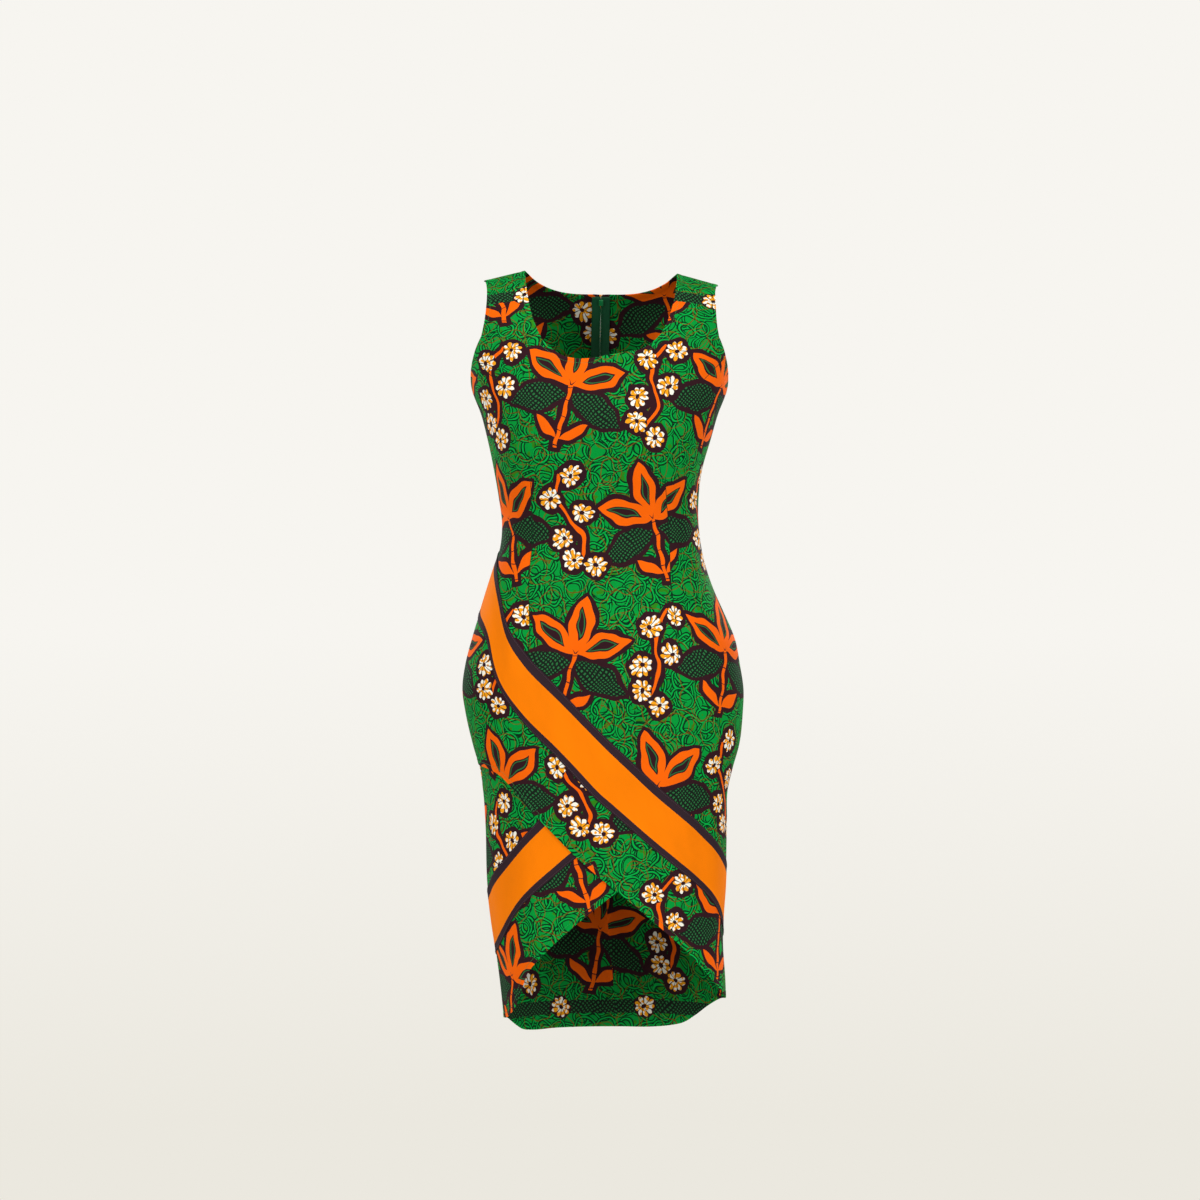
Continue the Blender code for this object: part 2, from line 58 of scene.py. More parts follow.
# The worn form, a row for each level: path, height, left, right, front, back and the power of its round.
# A path is a level's height, but over the shoulders it runs on along the cloth.
BODY_SIZES = np.array(
    (
        (-1020, -1020, -125, 161, -121, 119, 2.3),
        (-958, -958, -129, 160, -119, 117, 2.3),
        (-910, -910, -134, 159, -117, 115, 2.3),
        (-865, -865, -140, 156, -115, 113, 2.3),
        (-832, -832, -145, 156, -113, 112, 2.3),
        (-788, -788, -150, 159, -112, 112, 2.3),
        (-702, -702, -153, 161, -111, 115, 2.3),
        (-663, -663, -156, 162, -111, 118, 2.3),
        (-633, -633, -161, 169, -112, 122, 2.25),
        (-605, -605, -169, 177, -113, 126, 2.2),
        (-562, -562, -179, 182, -114, 129, 2.2),
        (-533, -533, -183, 183, -114, 129, 2.2),
        (-499, -499, -179, 178, -113, 125, 2.2),
        (-468, -468, -171, 172, -111, 118, 2.2),
        (-432, -432, -160, 157, -107, 108, 2.2),
        (-403, -403, -151, 144, -103, 99, 2.2),
        (-378, -378, -143, 135, -99, 91, 2.2),
        (-350, -350, -134, 128, -96, 84, 2.2),
        (-318, -318, -131, 124, -95, 82, 2.2),
        (-285, -285, -135, 124, -97, 85, 2.25),
        (-250, -250, -141, 128, -101, 90, 2.3),
        (-207, -207, -150, 140, -105, 97, 2.4),
        (-173, -173, -159, 150, -106, 100, 2.5),
        (-150, -150, -168, 159, -104, 101, 2.6),
        (-106, -108, -175, 166, -94, 98, 2.6),
        (-62, -70, -175, 168, -76, 88, 2.6),
        (-20, -35, -173, 168, -52, 69, 2.6),
        (15, -12, -173, 168, -25, 42, 2.6),
        (50, 0, -173, 168, 8, 8, 2.6),
        (85, -12, -173, 168, 42, -25, 2.6),
    ),
    float,
)
PATH, HEIGHT, LEFT, RIGHT, FRONT_AT, BACK_AT, POWER = range(7)

# The over skirt's slanting edge: its turn from the left side seam in degrees, and its path.
OVER_EDGE = (
    (0, -627), (38, -645), (56, -684), (76, -735), (91, -778), (128, -861), (156, -912), (180, -933),
)
# The straps: a path, and how far from the middle the armhole's and the neck's edges lie there.
STRAPS = np.array((
    (-70, 153, 79), (-50, 150, 87), (-20, 148, 94), (15, 148, 98), (35, 150, 99), (50, 152.5, 99),
), float)
STRAP_BASE, SHOULDER_SEAM = -70, 50
UNDERARM, ARMHOLE_POWER = -146, 1.3
# The neckline: the share of the way out to a strap, and the path.
NECKLINE = np.array((
    (-1, -70), (-0.93, -81), (-0.8, -92), (-0.62, -103), (-0.4, -108), (-0.1, -107.5),
    (0.15, -103.5), (0.45, -99), (0.68, -94.5), (0.82, -87), (0.93, -77.5), (1, -70),
), float)
HIP_LINE, BUST_LINE = -600, -215


def smooth(knots, values, at):
    """A curve through points, whose slope at each point is set by its neighbours."""
    slopes = np.gradient(values, knots)
    i = np.clip(np.searchsorted(knots, at) - 1, 0, len(knots) - 2)
    width = knots[i + 1] - knots[i]
    s = np.clip((at - knots[i]) / width, 0, 1)
    start = (1 + 2 * s) * (1 - s) ** 2 * values[i] + s * (1 - s) ** 2 * width * slopes[i]
    end = s * s * (3 - 2 * s) * values[i + 1] - s * s * (1 - s) * width * slopes[i + 1]
    return start + end


def body(column, path):
    return smooth(BODY_SIZES[:, PATH], BODY_SIZES[:, column], path)


def half_width(path):
    return (body(RIGHT, path) - body(LEFT, path)) / 2


def bell(distance, width):
    return np.exp(-((distance / width) ** 2) / 2)


# The bust stands out on each side of the middle. The shoulders slope down and out from the neck, and the left
# one is a little higher.
BUST_PROUD, BUST_APART, BUST_WIDE, BUST_AT, BUST_TALL = 20, 83, 46, -208, 50
SLOPE_FROM, SLOPE_LONG, SLOPE_RISE = -150, 200, 15
SLOPE_AT, SLOPE_ROUND, SLOPE_FALL, SLOPE_TILT = 85, 40, 0.28, 0.02


def form(turn, path, facing):
    """Points of the worn form. A turn goes from 0 at the left side seam to pi at the right one."""
    turn, path = np.broadcast_arrays(turn, path)
    power = body(POWER, path)
    across = -np.sign(np.cos(turn)) * abs(np.cos(turn)) ** (2 / power) * half_width(path)
    seam = (body(FRONT_AT, path) + body(BACK_AT, path)) / 2
    deep = body(FRONT_AT if facing == FRONT else BACK_AT, path) - seam
    height = body(HEIGHT, path)
    if facing == FRONT:
        beside = bell(abs(across) - BUST_APART, BUST_WIDE) + bell(abs(across) + BUST_APART, BUST_WIDE)
        deep = deep - BUST_PROUD * beside * bell(height - BUST_AT, BUST_TALL)
    fall = SLOPE_FALL * (np.hypot(across, SLOPE_ROUND) - math.hypot(SLOPE_AT, SLOPE_ROUND))
    climb = np.clip((path - SLOPE_FROM) / SLOPE_LONG, 0, 1) ** 2 * (SLOPE_RISE - fall - SLOPE_TILT * across)
    x = (body(LEFT, path) + body(RIGHT, path)) / 2 + across
    return np.stack([x, seam + deep * abs(np.sin(turn)) ** (2 / power), height + climb], axis=-1)


NEAR_TURN, NEAR_PATH = 0.002, 0.2


def normals(turn, path, facing):
    """Which way is out from the form."""
    across = form(np.clip(turn + NEAR_TURN, 0, math.pi), path, facing)
    across -= form(np.clip(turn - NEAR_TURN, 0, math.pi), path, facing)
    along = form(turn, path + NEAR_PATH, facing) - form(turn, path - NEAR_PATH, facing)
    out = np.cross(across, along) * -facing
    return out / np.linalg.norm(out, axis=-1, keepdims=True)


def turn_at(from_middle, path):
    """The turn of a place that lies a given distance right of the middle."""
    share = np.clip(abs(from_middle) / half_width(path), 0, 1)
    turn = np.arccos(share ** (body(POWER, path) / 2))
    return np.where(np.asarray(from_middle) > 0, math.pi - turn, turn)


FLAT_COLUMNS, FLAT_STEP = 720, 5
FLAT_TURNS = np.linspace(0, math.pi, FLAT_COLUMNS + 1)
FLAT_PATHS = np.arange(BODY_SIZES[0, PATH], BODY_SIZES[-1, PATH] + 1, FLAT_STEP)


def flat_table(facing):
    """How far round the form each place is from the centre line, in a table by path and turn."""
    points = form(FLAT_TURNS[None, :], FLAT_PATHS[:, None], facing)
    steps = np.linalg.norm(np.diff(points, axis=1), axis=-1)
    along = np.concatenate([np.zeros((len(FLAT_PATHS), 1)), np.cumsum(steps, axis=1)], axis=1)
    return along - along[:, FLAT_COLUMNS // 2, None]


FLAT = {FRONT: flat_table(FRONT), BACK: flat_table(BACK)}


def from_centre(turn, path, facing):
    """The flat distance round from the centre line, left negative."""
    turn, path = np.broadcast_arrays(turn, path)
    i = np.clip((path - FLAT_PATHS[0]) / FLAT_STEP, 0, len(FLAT_PATHS) - 1.001)
    j = np.clip(turn / math.pi * FLAT_COLUMNS, 0, FLAT_COLUMNS - 0.001)
    low, left = i.astype(int), j.astype(int)
    i, j = i - low, j - left
    table = FLAT[facing]
    lower = table[low, left] * (1 - j) + table[low, left + 1] * j
    upper = table[low + 1, left] * (1 - j) + table[low + 1, left + 1] * j
    return lower * (1 - i) + upper * i


# Creases of the worn cloth, given in flat millimetres: from, to, how far out and how wide.
FRONT_CREASES = (
    (-150, -322, -96, -352, -2.4, 7),
    (-158, -352, -112, -372, 2.0, 8),
    (148, -330, 104, -352, -2.2, 7),
    (152, -366, 118, -380, 1.7, 7),
    (-146, -300, -118, -306, -1.5, 6),
    (-60, -345, -18, -352, -1.0, 8),
    (22, -338, 66, -344, -1.2, 9),
    (-128, -418, -116, -520, 2.2, 9),
    (-104, -410, -100, -495, -1.8, 7),
    (150, -430, 141, -560, 1.5, 11),
    (112, -560, 96, -700, 2.0, 16),
    (52, -600, 30, -790, -2.0, 18),
    (-70, -560, -30, -720, 1.8, 17),
    (-6, -590, 22, -760, 1.5, 14),
    (138, -640, 128, -842, -2.4, 13),
    (-150, -600, -138, -800, -2.1, 14),
    (-104, -650, -100, -900, 2.2, 15),
    (-62, -700, -66, -860, -1.8, 12),
    (-128, -196, -104, -176, -1.8, 7),
    (126, -200, 100, -176, -1.7, 7),
)
# The darts on both sides draw the cloth in along their seams, and it swells a little past their points.
FRONT_DARTS = tuple(
    (side * from_x, from_y, side * to_x, to_y, out, wide)
    for from_x, from_y, to_x, to_y, out, wide in (
        (88, -258, 98, -496, -0.8, 3.5),
        (90, -236, 92, -214, 0.8, 13),
        (183, -95, 136, -137, -0.9, 3.0),
        (128, -143, 112, -156, 0.7, 12),
    )
    for side in (-1, 1)
)
SEAM_SINK, SEAM_SPREAD = 0.9, 1.7
CREASE_BEND, CREASE_WAVES, CREASE_PAST = 0.105, 5, 0.2
CREASE_NARROW, CREASE_WIDENS = 0.75, 0.5


def creased(flat, creases):
    """How far out the creases move places of the flat cloth.

    Each wavers along its length, widens toward its far end, and fades out a little past both its ends.
    """
    out = np.zeros(flat.shape[:-1])
    for x0, y0, x1, y1, depth, width in creases:
        start, run = np.array((x0, y0), float), np.array((x1 - x0, y1 - y0), float)
        along = (flat - start) @ run / (run @ run)
        share = np.clip(along, 0, 1)
        off = np.linalg.norm(flat - start - share[..., None] * run, axis=-1)
        from_middle = 2 * np.clip(along, -CREASE_PAST, 1 + CREASE_PAST) - 1
        fade = 1 - (from_middle / (1 + 2 * CREASE_PAST)) ** 2
        bend = CREASE_BEND * width * np.sin(along * CREASE_WAVES + x0) * fade
        out += depth * fade * bell(off + bend, width * (CREASE_NARROW + CREASE_WIDENS * share))
    return out


def spread(low, high, rows):
    share = np.linspace(0, 1, rows + 1)[:, None]
    return np.asarray(low) * (1 - share) + np.asarray(high) * share


HEM_ROWS = np.array((0, 0.7, 2, 4, 5.6, 6.6, 7.6, 9.5))[:, None]


def from_hem(edge, top, rows):
    """Rows up from a hem, close together in its turned width."""
    edge = np.asarray(edge, float)
    return np.concatenate([edge + HEM_ROWS[:-1], spread(edge + HEM_ROWS[-1], top, rows)])


def strap_edges(path):
    """The turns of the left strap's armhole and neck edges."""
    armhole = smooth(STRAPS[:, 0], STRAPS[:, 1], path)
    neck = smooth(STRAPS[:, 0], STRAPS[:, 2], path)
    return turn_at(-armhole, path), turn_at(-neck, path)


def armhole(turn):
    share = np.clip(np.sin(turn) / math.sin(strap_edges(STRAP_BASE)[0]), 0, 1) ** ARMHOLE_POWER
    return UNDERARM + (STRAP_BASE - UNDERARM) * share


def round_hips(turn):
    """How far round the hips a turn is, in flat millimetres. Slanting edges run smoothly against it."""
    return from_centre(turn, HIP_LINE, FRONT)


def edge_path(points, turn):
    turns, paths = np.array(points, float).T
    return smooth(round_hips(np.radians(turns)), paths, round_hips(turn))


ARM_COLUMNS, STRAP_COLUMNS, NECK_COLUMNS = 18, 20, 50
SKIRT_ROWS, BODY_ROWS, YOKE_ROWS, STRAP_ROWS = 84, 104, 34, 34
SEAM_CLOSER = 1.3


def arm_turns(arm):
    """The turns from the side seam to an armhole's edge, closer together at the seam."""
    return arm * np.linspace(0, 1, ARM_COLUMNS + 1)[:-1] ** SEAM_CLOSER


def front_columns():
    """The front's turns from side seam to side seam, and each neck column's share of the way across."""
    arm, neck = strap_edges(STRAP_BASE)
    neck_at = smooth(STRAPS[:, 0], STRAPS[:, 2], STRAP_BASE)
    share = -np.cos(np.linspace(0, math.pi, NECK_COLUMNS + 1))
    left = np.concatenate([arm_turns(arm), np.linspace(arm, neck, STRAP_COLUMNS + 1)[:-1]])
    return np.concatenate([left, turn_at(neck_at * share, STRAP_BASE), (math.pi - left)[::-1]]), share


def mirrored(grid):
    return math.pi - grid[0][:, ::-1], grid[1][:, ::-1]


def trunk_grids(turns, hem, top, skirt_rows):
    """A panel's turns and paths from its hem to the straps' foot: its skirt, body and yoke."""
    rows = (
        from_hem(hem, HIP_LINE, skirt_rows),
        spread(HIP_LINE, BUST_LINE, BODY_ROWS),
        spread(BUST_LINE, top, YOKE_ROWS),
    )
    return [np.broadcast_arrays(turns, paths) for paths in rows]


def front_grids():
    turns, share = front_columns()
    top = armhole(np.minimum(turns, math.pi - turns))
    first = ARM_COLUMNS + STRAP_COLUMNS
    top[first:first + NECK_COLUMNS + 1] = smooth(NECKLINE[:, 0], NECKLINE[:, 1], share)
    path = spread([STRAP_BASE], [SHOULDER_SEAM], STRAP_ROWS)
    arm, neck = strap_edges(path)
    strap = np.broadcast_arrays(arm + (neck - arm) * np.linspace(0, 1, STRAP_COLUMNS + 1), path)
    return trunk_grids(turns, edge_path(OVER_EDGE, turns), top, SKIRT_ROWS) + [strap, mirrored(strap)]


SAME_TURN, SAME_PATH = 1e-4, 1e-2


def joined(grids):
    """The grids' places and their quads, with the places that they share made one."""
    turn = np.concatenate([np.ravel(grid[0]) for grid in grids])
    path = np.concatenate([np.ravel(grid[1]) for grid in grids])
    quads, first = [], 0
    for turned, _ in grids:
        index = first + np.arange(turned.size).reshape(turned.shape)
        corners = (index[:-1, :-1], index[:-1, 1:], index[1:, 1:], index[1:, :-1])
        quads.append(np.stack(corners, axis=-1).reshape(-1, 4))
        first += turned.size
    keys = np.round(np.stack([turn / SAME_TURN, path / SAME_PATH], axis=1))
    _, kept, merged = np.unique(keys, axis=0, return_index=True, return_inverse=True)
    return turn[kept], path[kept], merged.ravel()[np.concatenate(quads)]


def rim_of(quads):
    """The edges that only one quad has, each from its first point to its second."""
    sides = np.concatenate([quads[:, [k, (k + 1) % 4]] for k in range(4)])
    _, where, count = np.unique(np.sort(sides, axis=1), axis=0, return_index=True, return_counts=True)
    return sides[where[count == 1]]


def off_the_rim(points, rim, outward):
    """Which way leads off the cloth at each point of its rim, and nothing elsewhere."""
    side = np.zeros_like(points)
    for a, b in rim:
        away = np.cross(points[b] - points[a], outward[a])
        side[a] += away / np.linalg.norm(away)
        side[b] += away / np.linalg.norm(away)
    length = np.linalg.norm(side, axis=1, keepdims=True)
    return np.divide(side, length, out=np.zeros_like(side), where=length > 0)


SEAM_TURN, SEAM_PATH = 0.01, 0.1


def sewn(turn, path, facing):
    """True where a panel's edge is sewn to another, and isn't a free edge."""
    at_side = (turn < SEAM_TURN) | (turn > math.pi - SEAM_TURN)
    at_centre = (abs(turn - math.pi / 2) < SEAM_TURN) & (facing == BACK)
    return at_side | at_centre | (path > SHOULDER_SEAM - SEAM_PATH)


FAR_AWAY = 1e3


def nearness(points, edges, every=1.0):
    """How far each point is from a set of edges."""
    if not len(edges):
        return np.full(len(points), FAR_AWAY)
    along = []
    for a, b in edges:
        steps = max(1, int(np.linalg.norm(points[b] - points[a]) / every))
        for k in range(steps + 1):
            along.append(points[a] + (points[b] - points[a]) * k / steps)
    tree = kdtree.KDTree(len(along))
    for k, point in enumerate(along):
        tree.insert(point, k)
    tree.balance()
    return np.array([tree.find(point)[2] for point in points])


def placed(name, data):
    """A new object in the scene."""
    made = bpy.data.objects.new(name, data)
    bpy.context.scene.collection.objects.link(made)
    return made


def shell(name, outer, inner, proud, quads, rim):
    """A mesh with an outer and an inner face. Its edge stands proud between them along the rim."""
    count, on_rim = len(outer), np.unique(rim)
    between = np.full(count, -1)
    between[on_rim] = 2 * count + np.arange(len(on_rim))
    a, b = rim.T
    over = np.stack([b, a, between[a], between[b]], axis=-1)
    under = np.stack([between[b], between[a], a + count, b + count], axis=-1)
    edging = np.stack([over, under], axis=1).reshape(-1, 4)
    faces = np.concatenate([quads, quads[:, ::-1] + count, edging])
    points = np.concatenate([outer, inner, ((outer + inner) / 2 + proud)[on_rim]])
    mesh = bpy.data.meshes.new(name)
    mesh.from_pydata((points * MM).tolist(), [], faces.tolist())
    mesh.shade_smooth()
    return mesh


CLOTH_THICK, EDGE_ROUND, RUB_REACH = 0.55, 0.3, 1.1
HEM_WIDE, HEM_THICK, HEM_PROUD, HEM_FADE = 6.6, 0.7, 0.22, 1.2
STITCH_SINK, STITCH_SPREAD = 0.25, 0.9


def cloth(name, grids, facing, out, creases, finishes, hem=HEM_THICK, place=None, seams=sewn):
    """A panel of cloth with its two faces, its turned hems and its edges sunk at the seams.

    It lies out from the form by a distance, or by a function's at each place.
    """
    turn, path, quads = joined(grids)
    if facing == BACK:
        quads = quads[:, ::-1]
    rim = rim_of(quads)
    at_seam = seams(turn, path, facing)
    is_sewn = at_seam[rim[:, 0]] & at_seam[rim[:, 1]]
    points, outward = form(turn, path, facing), normals(turn, path, facing)
    from_seam, from_edge = nearness(points, rim[is_sewn]), nearness(points, rim[~is_sewn])
    flat = np.stack([from_centre(turn, path, facing), path], axis=-1)
    # A seam draws the cloth in. A hem stands a little proud, and its stitches sink beside its turned edge.
    turned_in = np.clip((HEM_WIDE + HEM_FADE / 2 - from_edge) / HEM_FADE, 0, 1)
    lift = out(turn, path) if callable(out) else out
    lift = lift + creased(flat, creases) - SEAM_SINK * bell(from_seam, SEAM_SPREAD)
    lift = lift + HEM_PROUD * turned_in - STITCH_SINK * bell(from_edge - HEM_WIDE, STITCH_SPREAD)
    thick = (CLOTH_THICK + hem * turned_in)[:, None]
    outer = points + outward * lift[:, None]
    side = off_the_rim(points, rim, outward)
    mesh = shell(name, outer, outer - outward * thick, side * thick * EDGE_ROUND, quads, rim)
    # Which place each of the mesh's points belongs to: on the outer face, the inner one and the edge.
    origin = np.concatenate([np.arange(len(points)), np.arange(len(points)), np.unique(rim)])
    spots = (flat if place is None else place(turn, path))[origin] * MM
    corners = np.zeros(len(mesh.loops), dtype=np.int32)
    mesh.loops.foreach_get("vertex_index", corners)
    mesh.uv_layers.new(name="flat").data.foreach_set("uv", spots[corners].astype(np.float32).ravel())
    # Folded edges and seams are where the cloth rubs.
    rubbed = bell(np.minimum(from_edge, from_seam), RUB_REACH)[origin].astype(np.float32)
    mesh.attributes.new("rubbed", "FLOAT", "POINT").data.foreach_set("value", rubbed)
    for finish in finishes:
        mesh.materials.append(finish)
    inside = np.zeros(len(mesh.polygons), dtype=np.int32)
    inside[len(quads):2 * len(quads)] = len(finishes) - 1
    mesh.polygons.foreach_set("material_index", inside)
    mesh.update()
    return placed(name, mesh), {"rim": rim[~is_sewn], "side": side, "points": outer, "quads": quads}


# Wax print cotton: a plain-woven cotton printed on both faces with resin-resist dyes, then calendered. The
# eye sees flat, saturated colour with crisp dark outlines, and a soft satin gloss over a fine, even weave.
def linear(code):
    """A colour for the shader from its sRGB hex code."""
    parts = [int(code[k:k + 2], 16) / 255 for k in (1, 3, 5)]
    return (*[part / 12.92 if part <= 0.04045 else ((part + 0.055) / 1.055) ** 2.4 for part in parts], 1)


def feed(socket, value):
    """Links a value to a socket, or sets it there."""
    if isinstance(value, bpy.types.NodeSocket):
        socket.id_data.links.new(value, socket)
    else:
        socket.default_value = value


def add(tree, kind, *values, **settings):
    """Adds a node and gives its first output. Its operation may follow its kind after a dot.

    Each value is fed to the next input. A setting with a capital is fed to the input of that name.
    """
    kind, _, operation = kind.partition(".")
    made = tree.nodes.new("ShaderNode" + kind)
    if operation:
        made.operation = operation
    for name, value in settings.items():
        if name[0].islower():
            setattr(made, name, value)
    for socket, value in zip([socket for socket in made.inputs if socket.enabled], values):
        feed(socket, value)
    for name, value in settings.items():
        if name[0].isupper():
            feed(made.inputs[name], value)
    return next(socket for socket in made.outputs if socket.enabled)


def new_finish(name):
    """A new material, what adds a node to it, and what feeds its shader's inputs by name."""
    made = bpy.data.materials.new(name)
    made.use_nodes = True
    shader = made.node_tree.nodes["Principled BSDF"]

    def shade(**values):
        for socket, value in values.items():
            feed(shader.inputs[socket.replace("_", " ")], value)

    return made, partial(add, made.node_tree), shade


GROUND_GREEN, GLOW_GREEN, LINE_GREEN = linear("#009A3A"), linear("#00AE44"), linear("#04331A")
RUST, RUST_BLOT = linear("#6E5212"), linear("#2F8418")
MAROON, ORANGE = linear("#33181F"), linear("#FF6904")
CREAM, YOLK = linear("#FFFDF0"), linear("#FFA81A")
NET_DARK, NET_GREEN = linear("#17221A"), linear("#2C7440")

# Sizes of the print, in millimetres. The real net's step is 3, and it is drawn wider so that it shows.
WANDER, WANDER_STEP = 7.0, 20.0
RING_CELL, RING_UNEVEN, RING_LINES, RING_LINE = 29.0, 0.62, 1.7, 0.78
RING_SHIFTS, RING_SLANT = (0.0, 95.0, 212.0), 0.7
RUST_CELL, RUST_LINE, RUST_SHIFTS = 37.0, 0.5, (50.0, 171.0)
BLOT = 11.0
# How large the rings are as shares of their cells, and where the noise turns to rust blots and yellow dabs.
RING_SMALL, RING_LARGE, RUST_RING = 0.34, 0.54, 0.42
BLOT_FROM, YOLK_FROM = 0.64, 0.49
NET_STEP = 4.2
TILE_WIDE, TILE_TALL, TILE_LEAN = 212.0, 170.0, 0.25
OUTLINE, SMALL_OUTLINE = 6.0, 2.4
# A petal or leaf: its middle, its slant in degrees, and half its length and width.
PETAL_UP, PETAL_ASIDE = ((0, 41), 90, 36, 15), ((33, 20), 27, 36, 15.5)
NET_LEAF, SMALL_LEAF = ((39, -22), -20, 38, 17), ((18, -56), 38, 20, 6.5)
PETAL_EDGE, PETAL_LINE_IN, PETAL_LINE = 9.0, 11.2, 0.6
STEM_HALF, STEM_TOP, STEM_LOW = 2.5, 4.0, -78.0
STEM_JOINTS, JOINT_SHARE = 19.0, 0.06
VINE_HALF, VINE_SWING, VINE_WAVE, VINE_REACH = 2.2, 9.0, 17.0, 60.0
VINE_DAISIES = ((17, 56), (-17, 34), (18, 6), (-16, -18), (-9, -48), (17, -62))
DAISY_ROUND, DAISY_HALO, DAISY_PETALS = 14.0, 13.0, 9
CLUB_MIDDLE, CLUB_LONG, CLUB_WIDE, CLUB_TAPER = 8.4, 5.5, 3.3, 0.285
YOLK_BLOT = 5.5
BORDER_HALF, BORDER_STEP, BORDER_DAISY = 9.0, 123.0, 15.5


def printed(node, colour, screens):
    """Lays one dye over another. Each screen of the printing is a place for its dye, and the dye."""
    for where, dye in screens:
        colour = node("Mix", where, colour, dye, data_type="RGBA")
    return colour


def ring_ground(node, place):
    """The ground: rings in double dark lines, one layer over another, with rust blots and thin rust rings."""
    blot = node("TexNoise", place, Scale=1 / BLOT, Detail=1.0, noise_dimensions="2D")
    screens = [(node("Math.GREATER_THAN", blot, BLOT_FROM), RUST_BLOT)]
    for shift in RING_SHIFTS:
        moved = node("VectorMath.ADD", place, (shift, shift * RING_SLANT, 0))
        cell = node("TexVoronoi", moved, Scale=1 / RING_CELL, Randomness=RING_UNEVEN, voronoi_dimensions="2D")
        size = node("MapRange", cell.node.outputs["Color"], 0.2, 0.8, RING_SMALL, RING_LARGE)
        off = node("Math.MULTIPLY", node("Math.ABSOLUTE", node("Math.SUBTRACT", cell, size)), RING_CELL)
        screens.append((node("Math.LESS_THAN", off, RING_LINES), GLOW_GREEN))
        screens.append((node("Math.COMPARE", off, RING_LINES, RING_LINE), LINE_GREEN))
    for shift in RUST_SHIFTS:
        moved = node("VectorMath.ADD", place, (shift, -shift, 0))
        cell = node("TexVoronoi", moved, Scale=1 / RUST_CELL, Randomness=1.0, voronoi_dimensions="2D")
        screens.append((node("Math.COMPARE", cell, RUST_RING, RUST_LINE / RUST_CELL), RUST))
    return printed(node, GROUND_GREEN, screens)


def net_ground(node, place):
    """The net: small green squares left between dark slanting lines."""
    net = node("VectorRotate", place, Angle=math.pi / 4, rotation_type="Z_AXIS")
    net = node("VectorMath.FRACTION", node("VectorMath.MULTIPLY", net, (1 / NET_STEP, 1 / NET_STEP, 0)))
    parts = node("SeparateXYZ", net).node.outputs
    square = node("Math.GREATER_THAN", node("Math.MINIMUM", parts["X"], parts["Y"]), 0.5)
    return printed(node, NET_DARK, [(square, NET_GREEN)])


def leaf(node, spot, middle, angle, long, wide):
    """Below 0 within a pointed leaf, and roughly the distance from its outline."""
    own = node("VectorMath.SUBTRACT", spot, (*middle, 0))
    own = node("VectorRotate", own, Angle=-math.radians(angle), rotation_type="Z_AXIS")
    own = node("SeparateXYZ", own).node.outputs
    bow = node("Math.POWER", node("Math.MULTIPLY", own["X"], 1 / long), 2.0)
    bow = node("Math.MULTIPLY_ADD", bow, wide, -wide)
    return node("Math.ADD", node("Math.ABSOLUTE", own["Y"]), bow)


def flower(node, spot, net):
    """A flower: three orange petals, two net leaves and two small ones, on an upright stem."""
    parts = node("SeparateXYZ", spot).node.outputs
    aside, up = node("Math.ABSOLUTE", parts["X"]), parts["Y"]
    folded = node("CombineXYZ", aside, up)
    petals = node("Math.MINIMUM", leaf(node, spot, *PETAL_UP), leaf(node, folded, *PETAL_ASIDE))
    net_leaf, small_leaf = leaf(node, folded, *NET_LEAF), leaf(node, folded, *SMALL_LEAF)
    past = node("Math.MAXIMUM", node("Math.SUBTRACT", up, STEM_TOP), node("Math.SUBTRACT", STEM_LOW, up))
    stem = node("Math.MAXIMUM", node("Math.SUBTRACT", aside, STEM_HALF), past)
    orange = node("Math.MINIMUM", node("Math.MINIMUM", petals, small_leaf), stem)
    joint = node("Math.FRACT", node("Math.MULTIPLY", up, 1 / STEM_JOINTS))
    joint = node("Math.LESS_THAN", joint, JOINT_SHARE)
    return [
        (node("Math.LESS_THAN", node("Math.MINIMUM", orange, net_leaf), OUTLINE), MAROON),
        (node("Math.LESS_THAN", net_leaf, 0.0), net),
        (node("Math.LESS_THAN", orange, SMALL_OUTLINE), MAROON),
        (node("Math.LESS_THAN", orange, 0.0), ORANGE),
        (node("Math.LESS_THAN", petals, -PETAL_EDGE), MAROON),
        (node("Math.COMPARE", petals, -PETAL_LINE_IN, PETAL_LINE), NET_GREEN),
        (node("Math.MULTIPLY", joint, node("Math.LESS_THAN", stem, 0.0)), MAROON),
    ]


def daisy(node, own, far, petal_tint):
    """A daisy: club-shaped petals about a small dark middle."""
    parts = node("SeparateXYZ", own).node.outputs
    turned = node("Math.MULTIPLY", node("Math.ARCTAN2", parts["Y"], parts["X"]), DAISY_PETALS / math.tau)
    off = node("Math.SUBTRACT", turned, node("Math.ROUND", turned))
    off = node("Math.MULTIPLY", off, math.tau / DAISY_PETALS)
    along = node("Math.MULTIPLY", far, node("Math.COSINE", off))
    aside = node("Math.MULTIPLY", far, node("Math.ABSOLUTE", node("Math.SINE", off)))
    long = node("Math.MULTIPLY", node("Math.SUBTRACT", along, CLUB_MIDDLE), 1 / CLUB_LONG)
    wide = node("Math.POWER", node("Math.MULTIPLY", aside, 1 / CLUB_WIDE), 2.0)
    club = node("Math.LESS_THAN", node("Math.ADD", node("Math.POWER", long, 2.0), wide), 1.0)
    taper = node("Math.LESS_THAN", aside, node("Math.MULTIPLY", along, CLUB_TAPER))
    return [
        (node("Math.LESS_THAN", far, DAISY_ROUND), MAROON),
        (node("Math.MULTIPLY", club, taper), petal_tint),
    ]


